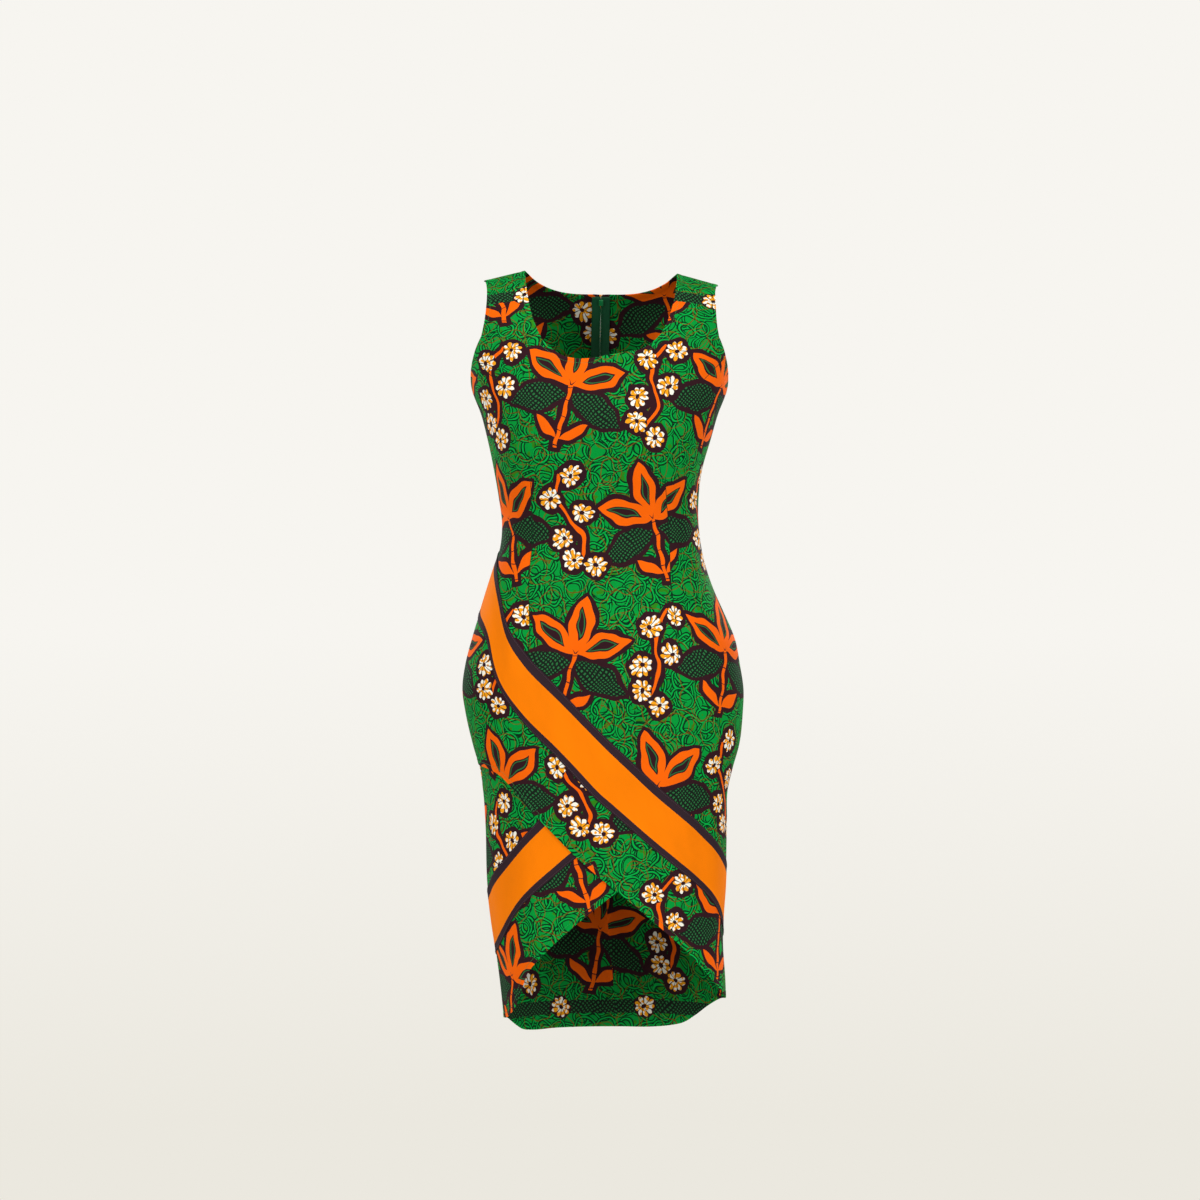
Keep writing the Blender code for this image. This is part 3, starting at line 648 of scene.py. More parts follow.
def daisy_vine(node, spot, petal_tint):
    """Daisies on a winding stem, which stand between the flowers."""
    parts = node("SeparateXYZ", spot).node.outputs
    swing = node("Math.SINE", node("Math.MULTIPLY", parts["Y"], 1 / VINE_WAVE))
    vine = node("Math.ABSOLUTE", node("Math.MULTIPLY_ADD", swing, VINE_SWING, parts["X"]))
    past = node("Math.SUBTRACT", node("Math.ABSOLUTE", parts["Y"]), VINE_REACH)
    vine = node("Math.MAXIMUM", node("Math.SUBTRACT", vine, VINE_HALF), past)
    own, far = None, None
    for middle in VINE_DAISIES:
        to = node("VectorMath.SUBTRACT", spot, (*middle, 0))
        length = node("VectorMath.LENGTH", to)
        if own is None:
            own, far = to, length
        else:
            own = node("Mix", node("Math.LESS_THAN", length, far), own, to, data_type="VECTOR")
            far = node("Math.MINIMUM", far, length)
    halo = node("Math.MINIMUM", vine, node("Math.SUBTRACT", far, DAISY_HALO))
    return [
        (node("Math.LESS_THAN", halo, OUTLINE), MAROON),
        (node("Math.LESS_THAN", vine, 0.0), ORANGE),
        *daisy(node, own, far, petal_tint),
    ]


def wax_print():
    """The print as a node group, from a place on the cloth in millimetres to a colour."""
    tree = bpy.data.node_groups.new("wax_print", "ShaderNodeTree")
    tree.interface.new_socket("Place", in_out="INPUT", socket_type="NodeSocketVector")
    tree.interface.new_socket("Border", in_out="INPUT", socket_type="NodeSocketFloat")
    tree.interface.new_socket("Colour", in_out="OUTPUT", socket_type="NodeSocketColor")
    given = tree.nodes.new("NodeGroupInput").outputs
    node = partial(add, tree)

    # The drawing is by hand, so every line wanders a little.
    wander = node("TexNoise", given["Place"], Scale=1 / WANDER_STEP, Detail=0.0, noise_dimensions="2D")
    wander = node("VectorMath.SUBTRACT", wander.node.outputs["Color"], (0.5, 0.5, 0.5))
    place = node("VectorMath.ADD", given["Place"], node("VectorMath.MULTIPLY", wander, (WANDER, WANDER, 0.0)))
    ground, net = ring_ground(node, place), net_ground(node, place)

    # Half-drop tiles: a row's flowers stand under the gaps of the row above, and lean the other way.
    parts = node("SeparateXYZ", place).node.outputs
    row = node("Math.FLOOR", node("Math.MULTIPLY", parts["Y"], 1 / TILE_TALL))
    odd = node("Math.FLOORED_MODULO", row, 2.0)
    up = node("Math.SUBTRACT", node("Math.MULTIPLY_ADD", row, -TILE_TALL, parts["Y"]), TILE_TALL / 2)
    right = node("Math.MULTIPLY_ADD", odd, TILE_WIDE / 2, parts["X"])
    lean = node("Math.MULTIPLY_ADD", odd, 2 * TILE_LEAN, -TILE_LEAN)

    def in_step(across, step):
        """How far a place is from the middle of its own step."""
        share = node("Math.SUBTRACT", node("Math.FRACT", node("Math.MULTIPLY", across, 1 / step)), 0.5)
        return node("Math.MULTIPLY", share, step)

    def tile(across):
        """A place in its own tile, whose middle is 0."""
        spot = node("CombineXYZ", in_step(across, TILE_WIDE), up)
        return node("VectorRotate", spot, Angle=lean, rotation_type="Z_AXIS")

    # The daisies' yellow is dabbed on by another block, so it falls across their petals anyhow.
    dabs = node("TexNoise", given["Place"], Scale=1 / YOLK_BLOT, Detail=0.0, noise_dimensions="2D")
    petal_tint = printed(node, CREAM, [(node("Math.GREATER_THAN", dabs, YOLK_FROM), YOLK)])
    screens = flower(node, tile(right), net)
    screens += daisy_vine(node, tile(node("Math.ADD", right, TILE_WIDE / 2)), petal_tint)

    # Past the border line the print has no flowers: a narrow stripe of net, with single daisies on it.
    border = given["Border"]
    spot = node("CombineXYZ", in_step(parts["X"], BORDER_STEP), border)
    far = node("VectorMath.LENGTH", spot)
    screens += [
        (node("Math.GREATER_THAN", border, 0.0), ground),
        (node("Math.COMPARE", border, 0.0, BORDER_HALF), net),
        (node("Math.LESS_THAN", far, BORDER_DAISY), MAROON),
        *daisy(node, spot, far, petal_tint),
    ]
    feed(tree.nodes.new("NodeGroupOutput").inputs["Colour"], printed(node, ground, screens))
    return tree


PRINT = wax_print()
# The real threads lie 0.35 mm apart. They are drawn 0.8 mm apart, which is as fine as shows. A wave texture
# of scale 1 repeats every tau / 20.
THREAD_STEP = 0.8
WAVE_TO_STEP = math.tau / 20
WEAVE_DEEP = 0.1 * MM


def flat_place(node):
    """A place on the flat cloth, in millimetres."""
    return node("VectorMath.MULTIPLY", node("UVMap", uv_map="flat"), (1 / MM, 1 / MM, 0))


def woven(node, flat, strength):
    """The plain weave of warp and weft threads, and the fine bumps that it makes in the gloss."""
    threads = partial(node, "TexWave", flat, Scale=WAVE_TO_STEP / THREAD_STEP)
    warp, weft = (threads(bands_direction=way).node.outputs["Fac"] for way in "XY")
    weave = node("Math.MULTIPLY", warp, weft)
    return weave, node("Bump", Strength=strength, Distance=WEAVE_DEEP, Height=weave)


# The print breaks along a dart's fold, and where the dart takes up enough cloth a thin dark line of painted
# shadow marks the fold. An armhole dart's line runs from past the armhole nearly to its tip, and the print's
# move dies away above it.
FOLD_HALF, FOLD_TAKES = 0.45, 0.4
ARM_FOLD_FROM, ARM_FOLD_TO, ARM_DART_FADE = -0.5, 0.98, 35.0


def past_waist_dart(node, across, path, dart):
    """How far the waist darts move the print out beyond them, and where a painted shadow line marks their
    folds.
    """
    top, low, taken = dart
    share = node("MapRange", path, float(low[1]), float(top[1]), 0.0, 1.0)
    line = node("Math.MULTIPLY_ADD", share, float(top[0] - low[0]), float(low[0]))
    off = node("Math.SUBTRACT", node("Math.ABSOLUTE", across), line)
    room = node("Math.MULTIPLY", share, node("Math.SUBTRACT", 1.0, share))
    room = node("Math.MULTIPLY", room, 4.0 * taken)
    shadow_line = node("Math.COMPARE", off, 0.0, FOLD_HALF)
    shadow_line = node("Math.MULTIPLY", shadow_line, node("Math.GREATER_THAN", room, FOLD_TAKES))
    return node("Math.MULTIPLY", node("Math.GREATER_THAN", off, 0.0), room), shadow_line


def past_arm_dart(node, across, path, dart):
    """How far the armhole darts move the print, which way, and where a painted shadow line marks their folds.
    """
    start, tip, taken = dart
    run = Vector(tip) - Vector(start)
    up = Vector((run.y, -run.x)).normalized()
    own = node("CombineXYZ", node("Math.ABSOLUTE", across), path)
    own = node("VectorMath.SUBTRACT", own, (*start, 0))
    off = node("VectorMath.DOT_PRODUCT", own, (*up, 0))
    share = node("VectorMath.DOT_PRODUCT", own, (*(run / run.length_squared), 0))
    room = node("MapRange", share, 0.0, 1.0, float(taken), 0.0)
    fade = node("MapRange", off, 0.0, ARM_DART_FADE, 1.0, 0.0)
    room = node("Math.MULTIPLY", room, node("Math.MULTIPLY", fade, node("Math.GREATER_THAN", off, 0.0)))
    shadow_line = node("Math.COMPARE", off, 0.0, FOLD_HALF)
    shadow_line = node("Math.MULTIPLY", shadow_line, node("Math.LESS_THAN", share, ARM_FOLD_TO))
    shadow_line = node("Math.MULTIPLY", shadow_line, node("Math.GREATER_THAN", share, ARM_FOLD_FROM))
    return room, up, shadow_line


# In millimetres, how far apart the dye's clouds lie and how far apart the rubbed patches do.
DYE_CLOUD, RUBBED_PATCH = 250 / 3, 20 / 3


def wax_cotton(name, shift, border, upward, waist_dart=None, arm_dart=None, shade_and_dullness=0.0):
    """Wax print cotton with its print placed on one panel. Darts take up cloth, so the print breaks there,
    and a painted shadow line marks each fold.
    """
    made, node, shade = new_finish(name)
    flat = flat_place(node)
    parts = node("SeparateXYZ", flat).node.outputs
    across, path = parts["X"], parts["Y"]
    side = node("Math.SIGN", across)
    moved_across, moved_path, painted_fold_shadows = across, path, []
    if waist_dart:
        beyond, shadow_line = past_waist_dart(node, across, path, waist_dart)
        moved_across = node("Math.MULTIPLY_ADD", beyond, side, moved_across)
        # Each dart's fold gets a thin dark line of painted shadow.
        painted_fold_shadows.append((shadow_line, LINE_GREEN))
    if arm_dart:
        room, up, shadow_line = past_arm_dart(node, across, path, arm_dart)
        moved_path = node("Math.MULTIPLY_ADD", room, up.y, moved_path)
        moved_across = node("Math.MULTIPLY_ADD", node("Math.MULTIPLY", room, side), up.x, moved_across)
        painted_fold_shadows.append((shadow_line, LINE_GREEN))
    group = made.node_tree.nodes.new("ShaderNodeGroup")
    group.node_tree = PRINT
    moved = node("CombineXYZ", moved_across, moved_path)
    feed(group.inputs["Place"], node("VectorMath.ADD", moved, (*shift, 0)))
    feed(group.inputs["Border"], node("Math.MULTIPLY_ADD", path, upward, -upward * border))
    # The dye is a little uneven over a hand's breadth, and the wrong side is darker: a little from its duller
    # dye, and the rest painted shade.
    clouds = node("TexNoise", flat, Scale=1 / DYE_CLOUD, Detail=3.0, noise_dimensions="2D")
    bright = node("MapRange", clouds, 0.3, 0.7, 0.95 - shade_and_dullness, 1.05 - shade_and_dullness)
    # Where the cloth rubs, on its folded edges, the dye is a little paler in places.
    rub = node("TexNoise", flat, Scale=1 / RUBBED_PATCH, Detail=2.0, noise_dimensions="2D")
    rub = node("Math.MULTIPLY", rub, node("Attribute", attribute_name="rubbed").node.outputs["Fac"])
    bright = node("Math.MULTIPLY_ADD", rub, 0.35, bright)
    weave, bumps = woven(node, flat, 0.5)
    # The weave makes the colour lighter on the threads and darker between them: painted light and shade.
    bright = node("Math.MULTIPLY", bright, node("MapRange", weave, 0.0, 0.6, 0.9, 1.05))
    colour = node("HueSaturation", Color=group.outputs["Colour"], Value=bright)
    shade(
        Base_Color=printed(node, colour, painted_fold_shadows),
        Roughness=node("MapRange", weave, 0.0, 1.0, 0.7, 0.58),
        IOR=1.5,
        Specular_IOR_Level=0.05,
        Normal=bumps,
    )
    return made


def both_faces(name, *cut):
    """The cotton's right side, and its wrong side with the same print, darkened partly by duller dye and
    partly by painted shade.
    """
    return [wax_cotton(name, *cut), wax_cotton(name + "_inside", *cut, shade_and_dullness=0.24)]


# Each dart has its ends in flat millimetres from the centre line, and how much cloth it takes up.
WAIST_DART = ((88, -258), (98, -496), 12)
ARM_DART = ((181, -98), (140, -134), 9)
BODICE_BORDER = -12.0
BODICE_SHIFT = (37, 61)
front_finish = both_faces("wax_print_front", BODICE_SHIFT, BODICE_BORDER, 1.0, WAIST_DART, ARM_DART)
front, front_edge = cloth("front_cloth", front_grids(), FRONT, 0, FRONT_CREASES + FRONT_DARTS, front_finish)
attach(front, "dress")
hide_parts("front")


# THE UNDER SKIRT. A second front panel of the same cotton, cut to the opposite slant. It hangs inside the
# front from a line below the waist, is caught in both side seams, and has the same turned hem.
UNDER_EDGE = (
    (0, -958), (14, -953), (33, -929), (44, -895), (57, -869), (90, -796), (124, -708), (142, -668),
    (180, -650),
)
UNDER_TOP, UNDER_ROWS = -362, 130
UNDER_OUT = -2.6
MEET_OVER, MEET_FROM = 26.0, 5.0


def eased(share):
    share = np.clip(share, 0, 1)
    return share * share * (3 - 2 * share)


def under_level(turn, path):
    """How far out the panel lies: inside the front, but level with the back at their seam below the front."""
    from_seam = from_centre(turn, path, FRONT) - from_centre(np.zeros_like(turn), path, FRONT)
    from_front = edge_path(OVER_EDGE, turn) - path
    meets = eased(1 - (from_seam - MEET_FROM) / MEET_OVER) * eased((from_front - MEET_FROM) / MEET_OVER)
    return UNDER_OUT * (1 - meets)


def under_grid():
    turns = front_columns()[0]
    return np.broadcast_arrays(turns, from_hem(edge_path(UNDER_EDGE, turns), UNDER_TOP, UNDER_ROWS))


UNDER_SHIFT = (-64, 139)
NO_BORDER = 500.0
under_finish = both_faces("wax_print_under", UNDER_SHIFT, NO_BORDER, 1.0)
under, under_edge = cloth(
    "under_skirt_cloth", [under_grid()], FRONT, under_level, FRONT_CREASES, under_finish
)
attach(under, "dress")
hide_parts("front_underlap")


# THE BACKS. Two panels of the same cotton, joined down the middle by a seam that holds the zip. Each is
# shaped by one long waist dart, and their hems rise to the front panels' corners at the sides.

# Each hem's turn from its own side seam in degrees, and its path. At 90 degrees it is level in the middle.
BACK_HEMS = {
    "left": ((0, -958), (15, -964), (25, -974), (33, -982), (42, -985), (60, -985), (90, -985)),
    "right": ((0, -933), (20, -940), (35, -953), (45, -966), (54, -977), (63, -982), (75, -985), (90, -985)),
}
BACK_NECK = -10
ZIP_END, ZIP_GAP, SEAM_GAP = -520, 0.45, 0.08
BACK_NECK_COLUMNS, BACK_SKIRT_ROWS = 26, 92
BACK_DART = ((82, -250), (78, -470), 14)
BACK_CREASES = (
    (-40, -352, -118, -330, -2.7, 8),
    (36, -348, 120, -334, -2.5, 8),
    (-22, -372, -86, -362, 2.3, 9),
    (26, -376, 92, -360, 2.2, 8),
    (-12, -330, -60, -322, -1.0, 7),
    (14, -322, 52, -318, -0.9, 7),
    (-140, -344, -168, -318, -2.2, 7),
    (132, -350, 160, -322, -2.2, 7),
    (-96, -610, -74, -830, 2.9, 17),
    (-40, -640, -30, -850, -2.5, 15),
    (62, -600, 48, -800, 2.5, 16),
    (112, -630, 104, -860, -2.7, 15),
    (-150, -620, -136, -880, -2.3, 14),
    (150, -600, 142, -800, 2.2, 14),
    (-8, -560, -14, -700, -0.9, 10),
    (-110, -150, -70, -128, -1.6, 8),
    (104, -148, 68, -120, -1.6, 8),
)


def opened(grid):
    """The left back's grid, whose last column leaves room for the zip or for the seam's stitches."""
    turned, paths = np.array(grid[0]), grid[1]
    middle = paths[:, -1]
    turned[:, -1] = turn_at(-np.where(middle > ZIP_END, ZIP_GAP, SEAM_GAP), middle)
    return turned, paths


def back_grids(side):
    arm = strap_edges(STRAP_BASE)[0]
    shares = np.linspace(0, 1, STRAP_COLUMNS + BACK_NECK_COLUMNS + 1)
    turns = np.concatenate([arm_turns(arm), arm + (math.pi / 2 - arm) * shares])
    knots, hems = np.array(BACK_HEMS[side], float).T
    grids = trunk_grids(turns, smooth(np.radians(knots), hems, turns), armhole(turns), BACK_SKIRT_ROWS)
    # Toward the shoulder, the columns crowd into the strap, and the rest end on the neck's edge.
    outer, inner = strap_edges(SHOULDER_SEAM)
    neck_share = (inner - outer) / (math.pi / 2 - outer)
    top_shares = np.concatenate([
        np.linspace(0, neck_share, STRAP_COLUMNS + 1)[:-1],
        np.linspace(neck_share, 1, BACK_NECK_COLUMNS + 1),
    ])
    across = np.linspace(1, 0, BACK_NECK_COLUMNS + 1)
    neckline = BACK_NECK + (SHOULDER_SEAM - BACK_NECK) * (1 - np.sqrt(1 - across ** 2))
    top = np.concatenate([np.full(STRAP_COLUMNS, SHOULDER_SEAM), neckline])
    paths = spread(STRAP_BASE, top, STRAP_ROWS)
    start = strap_edges(paths)[0]
    climbed = (paths[:, :1] - STRAP_BASE) / (SHOULDER_SEAM - STRAP_BASE)
    grids.append((start + (math.pi / 2 - start) * (shares + (top_shares - shares) * climbed), paths))
    grids = [opened(grid) for grid in grids]
    return grids if side == "left" else [mirrored(grid) for grid in grids]


BACK_BORDER = -958.0
BACK_SHIFTS = {"left": (12, 95), "right": (21, 93)}
back_edges = {}
for side in BACK_HEMS:
    finish = both_faces(f"wax_print_back_{side}", BACK_SHIFTS[side], BACK_BORDER, -1.0, BACK_DART)
    made, back_edges[side] = cloth(f"back_{side}_cloth", back_grids(side), BACK, 0, BACK_CREASES, finish)
    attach(made, "dress")
    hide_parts(f"back_{side}")


# THE BANDS. Two slanting strips of plain orange cotton with printed dark edges, cut from the cloth's border,
# turned under and stitched down flat. One lies on the front and the other on the under skirt.

# A band's edges: their turn from the left side seam in degrees, and the upper and the lower edge's path.
OVER_BAND = (
    (0, -352, -433), (10, -363, -443), (33, -409, -475), (46, -451, -530), (57, -481, -572),
    (71, -518, -616), (90, -590, -679), (103, -632, -717), (122, -675, -757), (146, -715, -795),
    (165, -744, -827), (180, -763, -853),
)
UNDER_BAND = (
    (0, -796, -877), (24, -762, -852), (45, -728, -811), (60, -696, -782), (77, -655, -746),
    (90, -622, -714), (109, -564, -652), (123, -527, -611), (134, -498, -574), (147, -458, -518),
    (170, -414, -487), (180, -405, -477),
)
BAND_ORANGE, BAND_EDGE = linear("#FF8200"), linear("#33242B")
BAND_WIDE, UPPER_STRIPE, LOWER_STRIPE = 62.0, 10.5, 8.0
BAND_SHARES = np.concatenate([(0, 0.012, 0.04), np.linspace(0.08, 0.92, 13), (0.96, 0.988, 1)])
BAND_PROUD, BAND_SLANT, SLUB_LONG = 0.75, 1.3, 50.0


def band_edges(table, turn):
    at, upper, lower = np.array(table, float).T
    at, turn = round_hips(np.radians(at)), round_hips(turn)
    return smooth(at, lower, turn), smooth(at, upper, turn)


def band_grid(table):
    turns = front_columns()[0]
    lower, upper = band_edges(table, turns)
    return np.broadcast_arrays(turns, lower + (upper - lower) * BAND_SHARES[:, None])


def on_band(table, turn, path):
    """How far along the band a place is, and how far from its middle."""
    lower, upper = band_edges(table, turn)
    share = (path - lower) / (upper - lower) - 0.5
    return np.stack([from_centre(turn, path, FRONT) * BAND_SLANT, share * BAND_WIDE], axis=-1)


def band_level(turn, path):
    return under_level(turn, path) + BAND_PROUD


def band_cotton():
    """Plain-woven cotton dyed orange, with dark printed edges: matt and even, with faint slubs."""
    made, node, shade = new_finish("dyed_band_cotton")
    flat = flat_place(node)
    across = node("SeparateXYZ", flat).node.outputs["Y"]
    half_plain = (BAND_WIDE - UPPER_STRIPE - LOWER_STRIPE) / 2
    is_plain = node("Math.COMPARE", across, (LOWER_STRIPE - UPPER_STRIPE) / 2, half_plain)
    slub = node("TexNoise", flat, Scale=1 / SLUB_LONG, Detail=4.0, noise_dimensions="2D")
    slub = node("MapRange", slub, 0.3, 0.7, 0.96, 1.04)
    weave, bumps = woven(node, flat, 0.5)
    # The weave makes the colour lighter on the threads and darker between them: painted light and shade.
    bright = node("Math.MULTIPLY", slub, node("MapRange", weave, 0.0, 0.6, 0.93, 1.04))
    plain = node("HueSaturation", Color=BAND_ORANGE, Value=bright)
    colour = printed(node, BAND_EDGE, [(is_plain, plain)])
    shade(Base_Color=colour, Roughness=0.66, IOR=1.5, Specular_IOR_Level=0.05, Normal=bumps)
    return made


band_finish = [band_cotton()]
band_sides = {}
for name, replaced, table, out, under_it in (
    ("over_band_cloth", "band_over", OVER_BAND, BAND_PROUD, "front_cloth"),
    ("under_band_cloth", "band_under", UNDER_BAND, band_level, "under_skirt_cloth"),
):
    made, band_sides[name] = cloth(
        name, [band_grid(table)], FRONT, out, FRONT_CREASES, band_finish, 0.0, partial(on_band, table)
    )
    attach(made, "dress")
    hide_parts(replaced)


# THE STITCHES. Lockstitch in spun polyester thread, 2.8 mm long, which holds down the turned hems of the
# neck, armholes and skirts, 6 mm in from the fold, and both sides of each band. Each dips into the cloth.
STITCH_STEP, STITCH_LONG, STITCH_SHORTEST = 2.8, 2.2, 1.76
THREAD_ROUND, THREAD_SIDES, THREAD_PLY = 0.26, 5, 0.4
HEM_INSET, BAND_INSET = 5.9, 1.9
# Along a stitch: the share of its length, how high its middle is and its share of the thread's width.
STITCH_SHAPE = ((0, -0.2, 0.6), (0.2, 0.06, 1), (0.8, 0.06, 1), (1, -0.2, 0.6))


def edge_chains(rim):
    """The rim's edges joined into runs of points."""
    following = {int(a): int(b) for a, b in rim}
    starts = sorted(set(following) - set(following.values()))
    chains = []
    while following:
        here = next((start for start in starts if start in following), min(following))
        chain = [here]
        while here in following:
            here = following.pop(here)
            chain.append(here)
        chains.append(chain)
    return chains


def ring(middle, across, up, width):
    """The points round a thread or wire."""
    angles = np.arange(THREAD_SIDES) * math.tau / THREAD_SIDES
    return [middle + (across * math.cos(angle) + up * math.sin(angle)) * width for angle in angles]


def tube_faces(first, last):
    """The faces that join rings of points, from the first point to the last one, into a closed tube."""
    sides, faces = THREAD_SIDES, []
    for low in range(first, last - sides, sides):
        for j in range(sides):
            after = (j + 1) % sides
            faces.append((low + j, low + after, low + sides + after, low + sides + j))
    return faces + [tuple(range(first + sides - 1, first - 1, -1)), tuple(range(last - sides, last))]


def strands(name, corners, faces, finish):
    """A piece made of threads or wires."""
    mesh = bpy.data.meshes.new(name)
    mesh.from_pydata((np.array(corners) * MM).tolist(), [], faces)
    mesh.shade_smooth()
    mesh.materials.append(finish)
    return placed(name, mesh)


def stitch_line(edge, inset, corners, faces):
    """Adds the stitches that run beside a cloth's free edges, laid on its outer face."""
    surface = BVHTree.FromPolygons(edge["points"].tolist(), edge["quads"].tolist())
    for chain in edge_chains(edge["rim"]):
        line = (edge["points"] - edge["side"] * inset)[chain]
        line = np.array([surface.find_nearest(point)[0] for point in line])
        along = np.concatenate([[0], np.cumsum(np.linalg.norm(np.diff(line, axis=0), axis=1))])
        for start in np.arange(inset, along[-1] - inset, STITCH_STEP):
            ends = [
                np.array([np.interp(at, along, line[:, k]) for k in range(3)])
                for at in (start, start + STITCH_LONG)
            ]
            run = ends[1] - ends[0]
            spot, up = map(np.array, surface.find_nearest((ends[0] + ends[1]) / 2)[:2])
            across = np.cross(run, up)
            # Round a sharp corner there is no room for a stitch.
            if np.linalg.norm(run) < STITCH_SHORTEST or not np.linalg.norm(across):
                continue
            across /= np.linalg.norm(across)
            first = len(corners)
            for share, high, wide in STITCH_SHAPE:
                corners += ring(spot + run * (share - 0.5) + up * high, across, up, THREAD_ROUND * wide)
            faces += tube_faces(first, len(corners))


def thread(name, code):
    """Spun polyester thread: matt, and finely mottled by its plies."""
    made, node, shade = new_finish(name)
    plies = node("TexNoise", node("NewGeometry"), Scale=1 / (THREAD_PLY * MM), Detail=1.0)
    bright = node("MapRange", plies, 0.3, 0.7, 0.75, 1.2)
    shade(Base_Color=node("HueSaturation", Color=linear(code), Value=bright), Roughness=0.6)
    return made


green_thread, plum_thread = thread("green_thread", "#0C8A3E"), thread("plum_thread", "#4A2E3C")
hem_edges = [front_edge, under_edge, *back_edges.values()]
for name, edges, inset, finish, slot in (
    ("hem_stitches", hem_edges, HEM_INSET, green_thread, "wax_print"),
    ("band_stitches", band_sides.values(), BAND_INSET, plum_thread, "band_cloth"),
):
    corners, faces = [], []
    for edge in edges:
        stitch_line(edge, inset, corners, faces)
    made = strands(name, corners, faces, finish)
    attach(made, "dress")


# THE ZIP. A concealed zip in the centre back: two woven polyester tapes sewn behind the backs' edges, a nylon
# coil sewn along each tape, meshed with the other's, and a slider with its pull tab in green enamelled zinc.
ZIP_TOP, COIL_TOP = -12, -23.5
TAPE_WIDE, TAPE_APART, TAPE_OUT, TAPE_ROWS, TAPE_COLUMNS = 11.0, 0.9, -2.4, 200, 9
COIL_PITCH, COIL_MIDDLE, COIL_HALF, COIL_DEEP, COIL_OUT = 1.4, 0.6, 0.75, 0.55, -3.8
COIL_WIRE, COIL_STEPS = 0.27, 10


def zip_tape():
    """Plain-woven polyester tape: a fine, even weave with a soft lustre."""
    made, node, shade = new_finish("woven_zip_tape")
    weave, bumps = woven(node, flat_place(node), 0.8)
    # The weave makes the colour lighter on the threads and darker between them: painted light and shade.
    bright = node("MapRange", weave, 0.0, 1.0, 0.8, 1.12)
    colour = node("HueSaturation", Color=linear("#0B5230"), Value=bright)
    shade(Base_Color=colour, Roughness=0.55, IOR=1.57, Specular_IOR_Level=0.25, Normal=bumps)
    return made


def not_sewn(turn, path, facing):
    return np.zeros(turn.shape, bool)


tape_finish = [zip_tape()]
tape_paths = np.linspace(ZIP_END, ZIP_TOP, TAPE_ROWS)[:, None]
for side, way in (("left", -1), ("right", 1)):
    from_middle = way * np.linspace(TAPE_APART, TAPE_APART + TAPE_WIDE, TAPE_COLUMNS)[::way]
    grid = np.broadcast_arrays(turn_at(from_middle, tape_paths), tape_paths)
    made, _ = cloth(
        f"zip_tape_{side}_cloth", [grid], BACK, TAPE_OUT, (), tape_finish, hem=0.0, seams=not_sewn
    )
    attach(made, "dress")
    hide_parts(f"zip_tape_{side}")

# Nylon monofilament, drawn and heat-set: smooth and a little uneven in tone, with a highlight on each loop.
TONE_STEP = 10 / 3 * MM
nylon, node, shade = new_finish("dyed_nylon")
bright = node("MapRange", node("TexNoise", node("NewGeometry"), Scale=1 / TONE_STEP), 0.3, 0.7, 0.85, 1.15)
shade(Base_Color=node("HueSaturation", Color=linear("#0D6A3A"), Value=bright), Roughness=0.32, IOR=1.53)

# Each coil is a flattened spiral. The right one's loops lie half a step above the left one's.
corners, faces = [], []
loops = int((COIL_TOP - ZIP_END) / COIL_PITCH) - 1
turns = np.arange(loops * COIL_STEPS + 1) / COIL_STEPS
middle = np.full(len(turns), math.pi / 2)
for way, above in ((-1, 0), (1, 0.5)):
    path = ZIP_END + COIL_PITCH * (turns + above)
    out = normals(middle, path, BACK)
    wire = form(middle, path, BACK) + out * (COIL_OUT + COIL_DEEP * np.sin(turns * math.tau))[:, None]
    wire[:, 0] += way * (COIL_MIDDLE + COIL_HALF * np.cos(turns * math.tau))
    run = np.gradient(wire, axis=0)
    run /= np.linalg.norm(run, axis=1, keepdims=True)
    up = np.cross(out, (1.0, 0, 0))
    up -= run * np.sum(up * run, axis=1, keepdims=True)
    up /= np.linalg.norm(up, axis=1, keepdims=True)
    first = len(corners)
    for spot, aside, upward in zip(wire, np.cross(run, up), up):
        corners += ring(spot, upward, aside, COIL_WIRE)
    faces += tube_faces(first, len(corners))
coil = strands("zip_coil_loops", corners, faces, nylon)
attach(coil, "dress")
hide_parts("zip_coil")

# Zinc alloy, die-cast and spray enamelled: an even gloss skin with soft ripples, rubbed to bare metal at its
# edges.
SCUFF, RIPPLE, RIPPLE_DEEP, WORN_EDGE = 5 / 7 * MM, 2 * MM, 0.1 * MM, 0.35 * MM
enamel, node, shade = new_finish("enamelled_zinc")
geometry = node("NewGeometry").node.outputs
scuffs = node("TexNoise", geometry["Position"], Scale=1 / SCUFF, Detail=3.0)
rounded = node("Bevel", WORN_EDGE, samples=4)
edges = node("MapRange", node("VectorMath.DOT_PRODUCT", rounded, geometry["Normal"]), 0.99, 0.9, 0.0, 1.0)
bare = node("Math.MULTIPLY", edges, node("MapRange", scuffs, 0.45, 0.6, 0.0, 1.0))
ripples = node("TexNoise", geometry["Position"], Scale=1 / RIPPLE)
shade(
    Base_Color=printed(node, linear("#0E7A40"), [(bare, linear("#B9B7B0"))]),
    Metallic=bare,
    Roughness=node("MapRange", scuffs, 0.3, 0.7, 0.24, 0.4),
    Normal=node("Bump", Strength=0.2, Distance=RIPPLE_DEEP, Height=ripples),
)

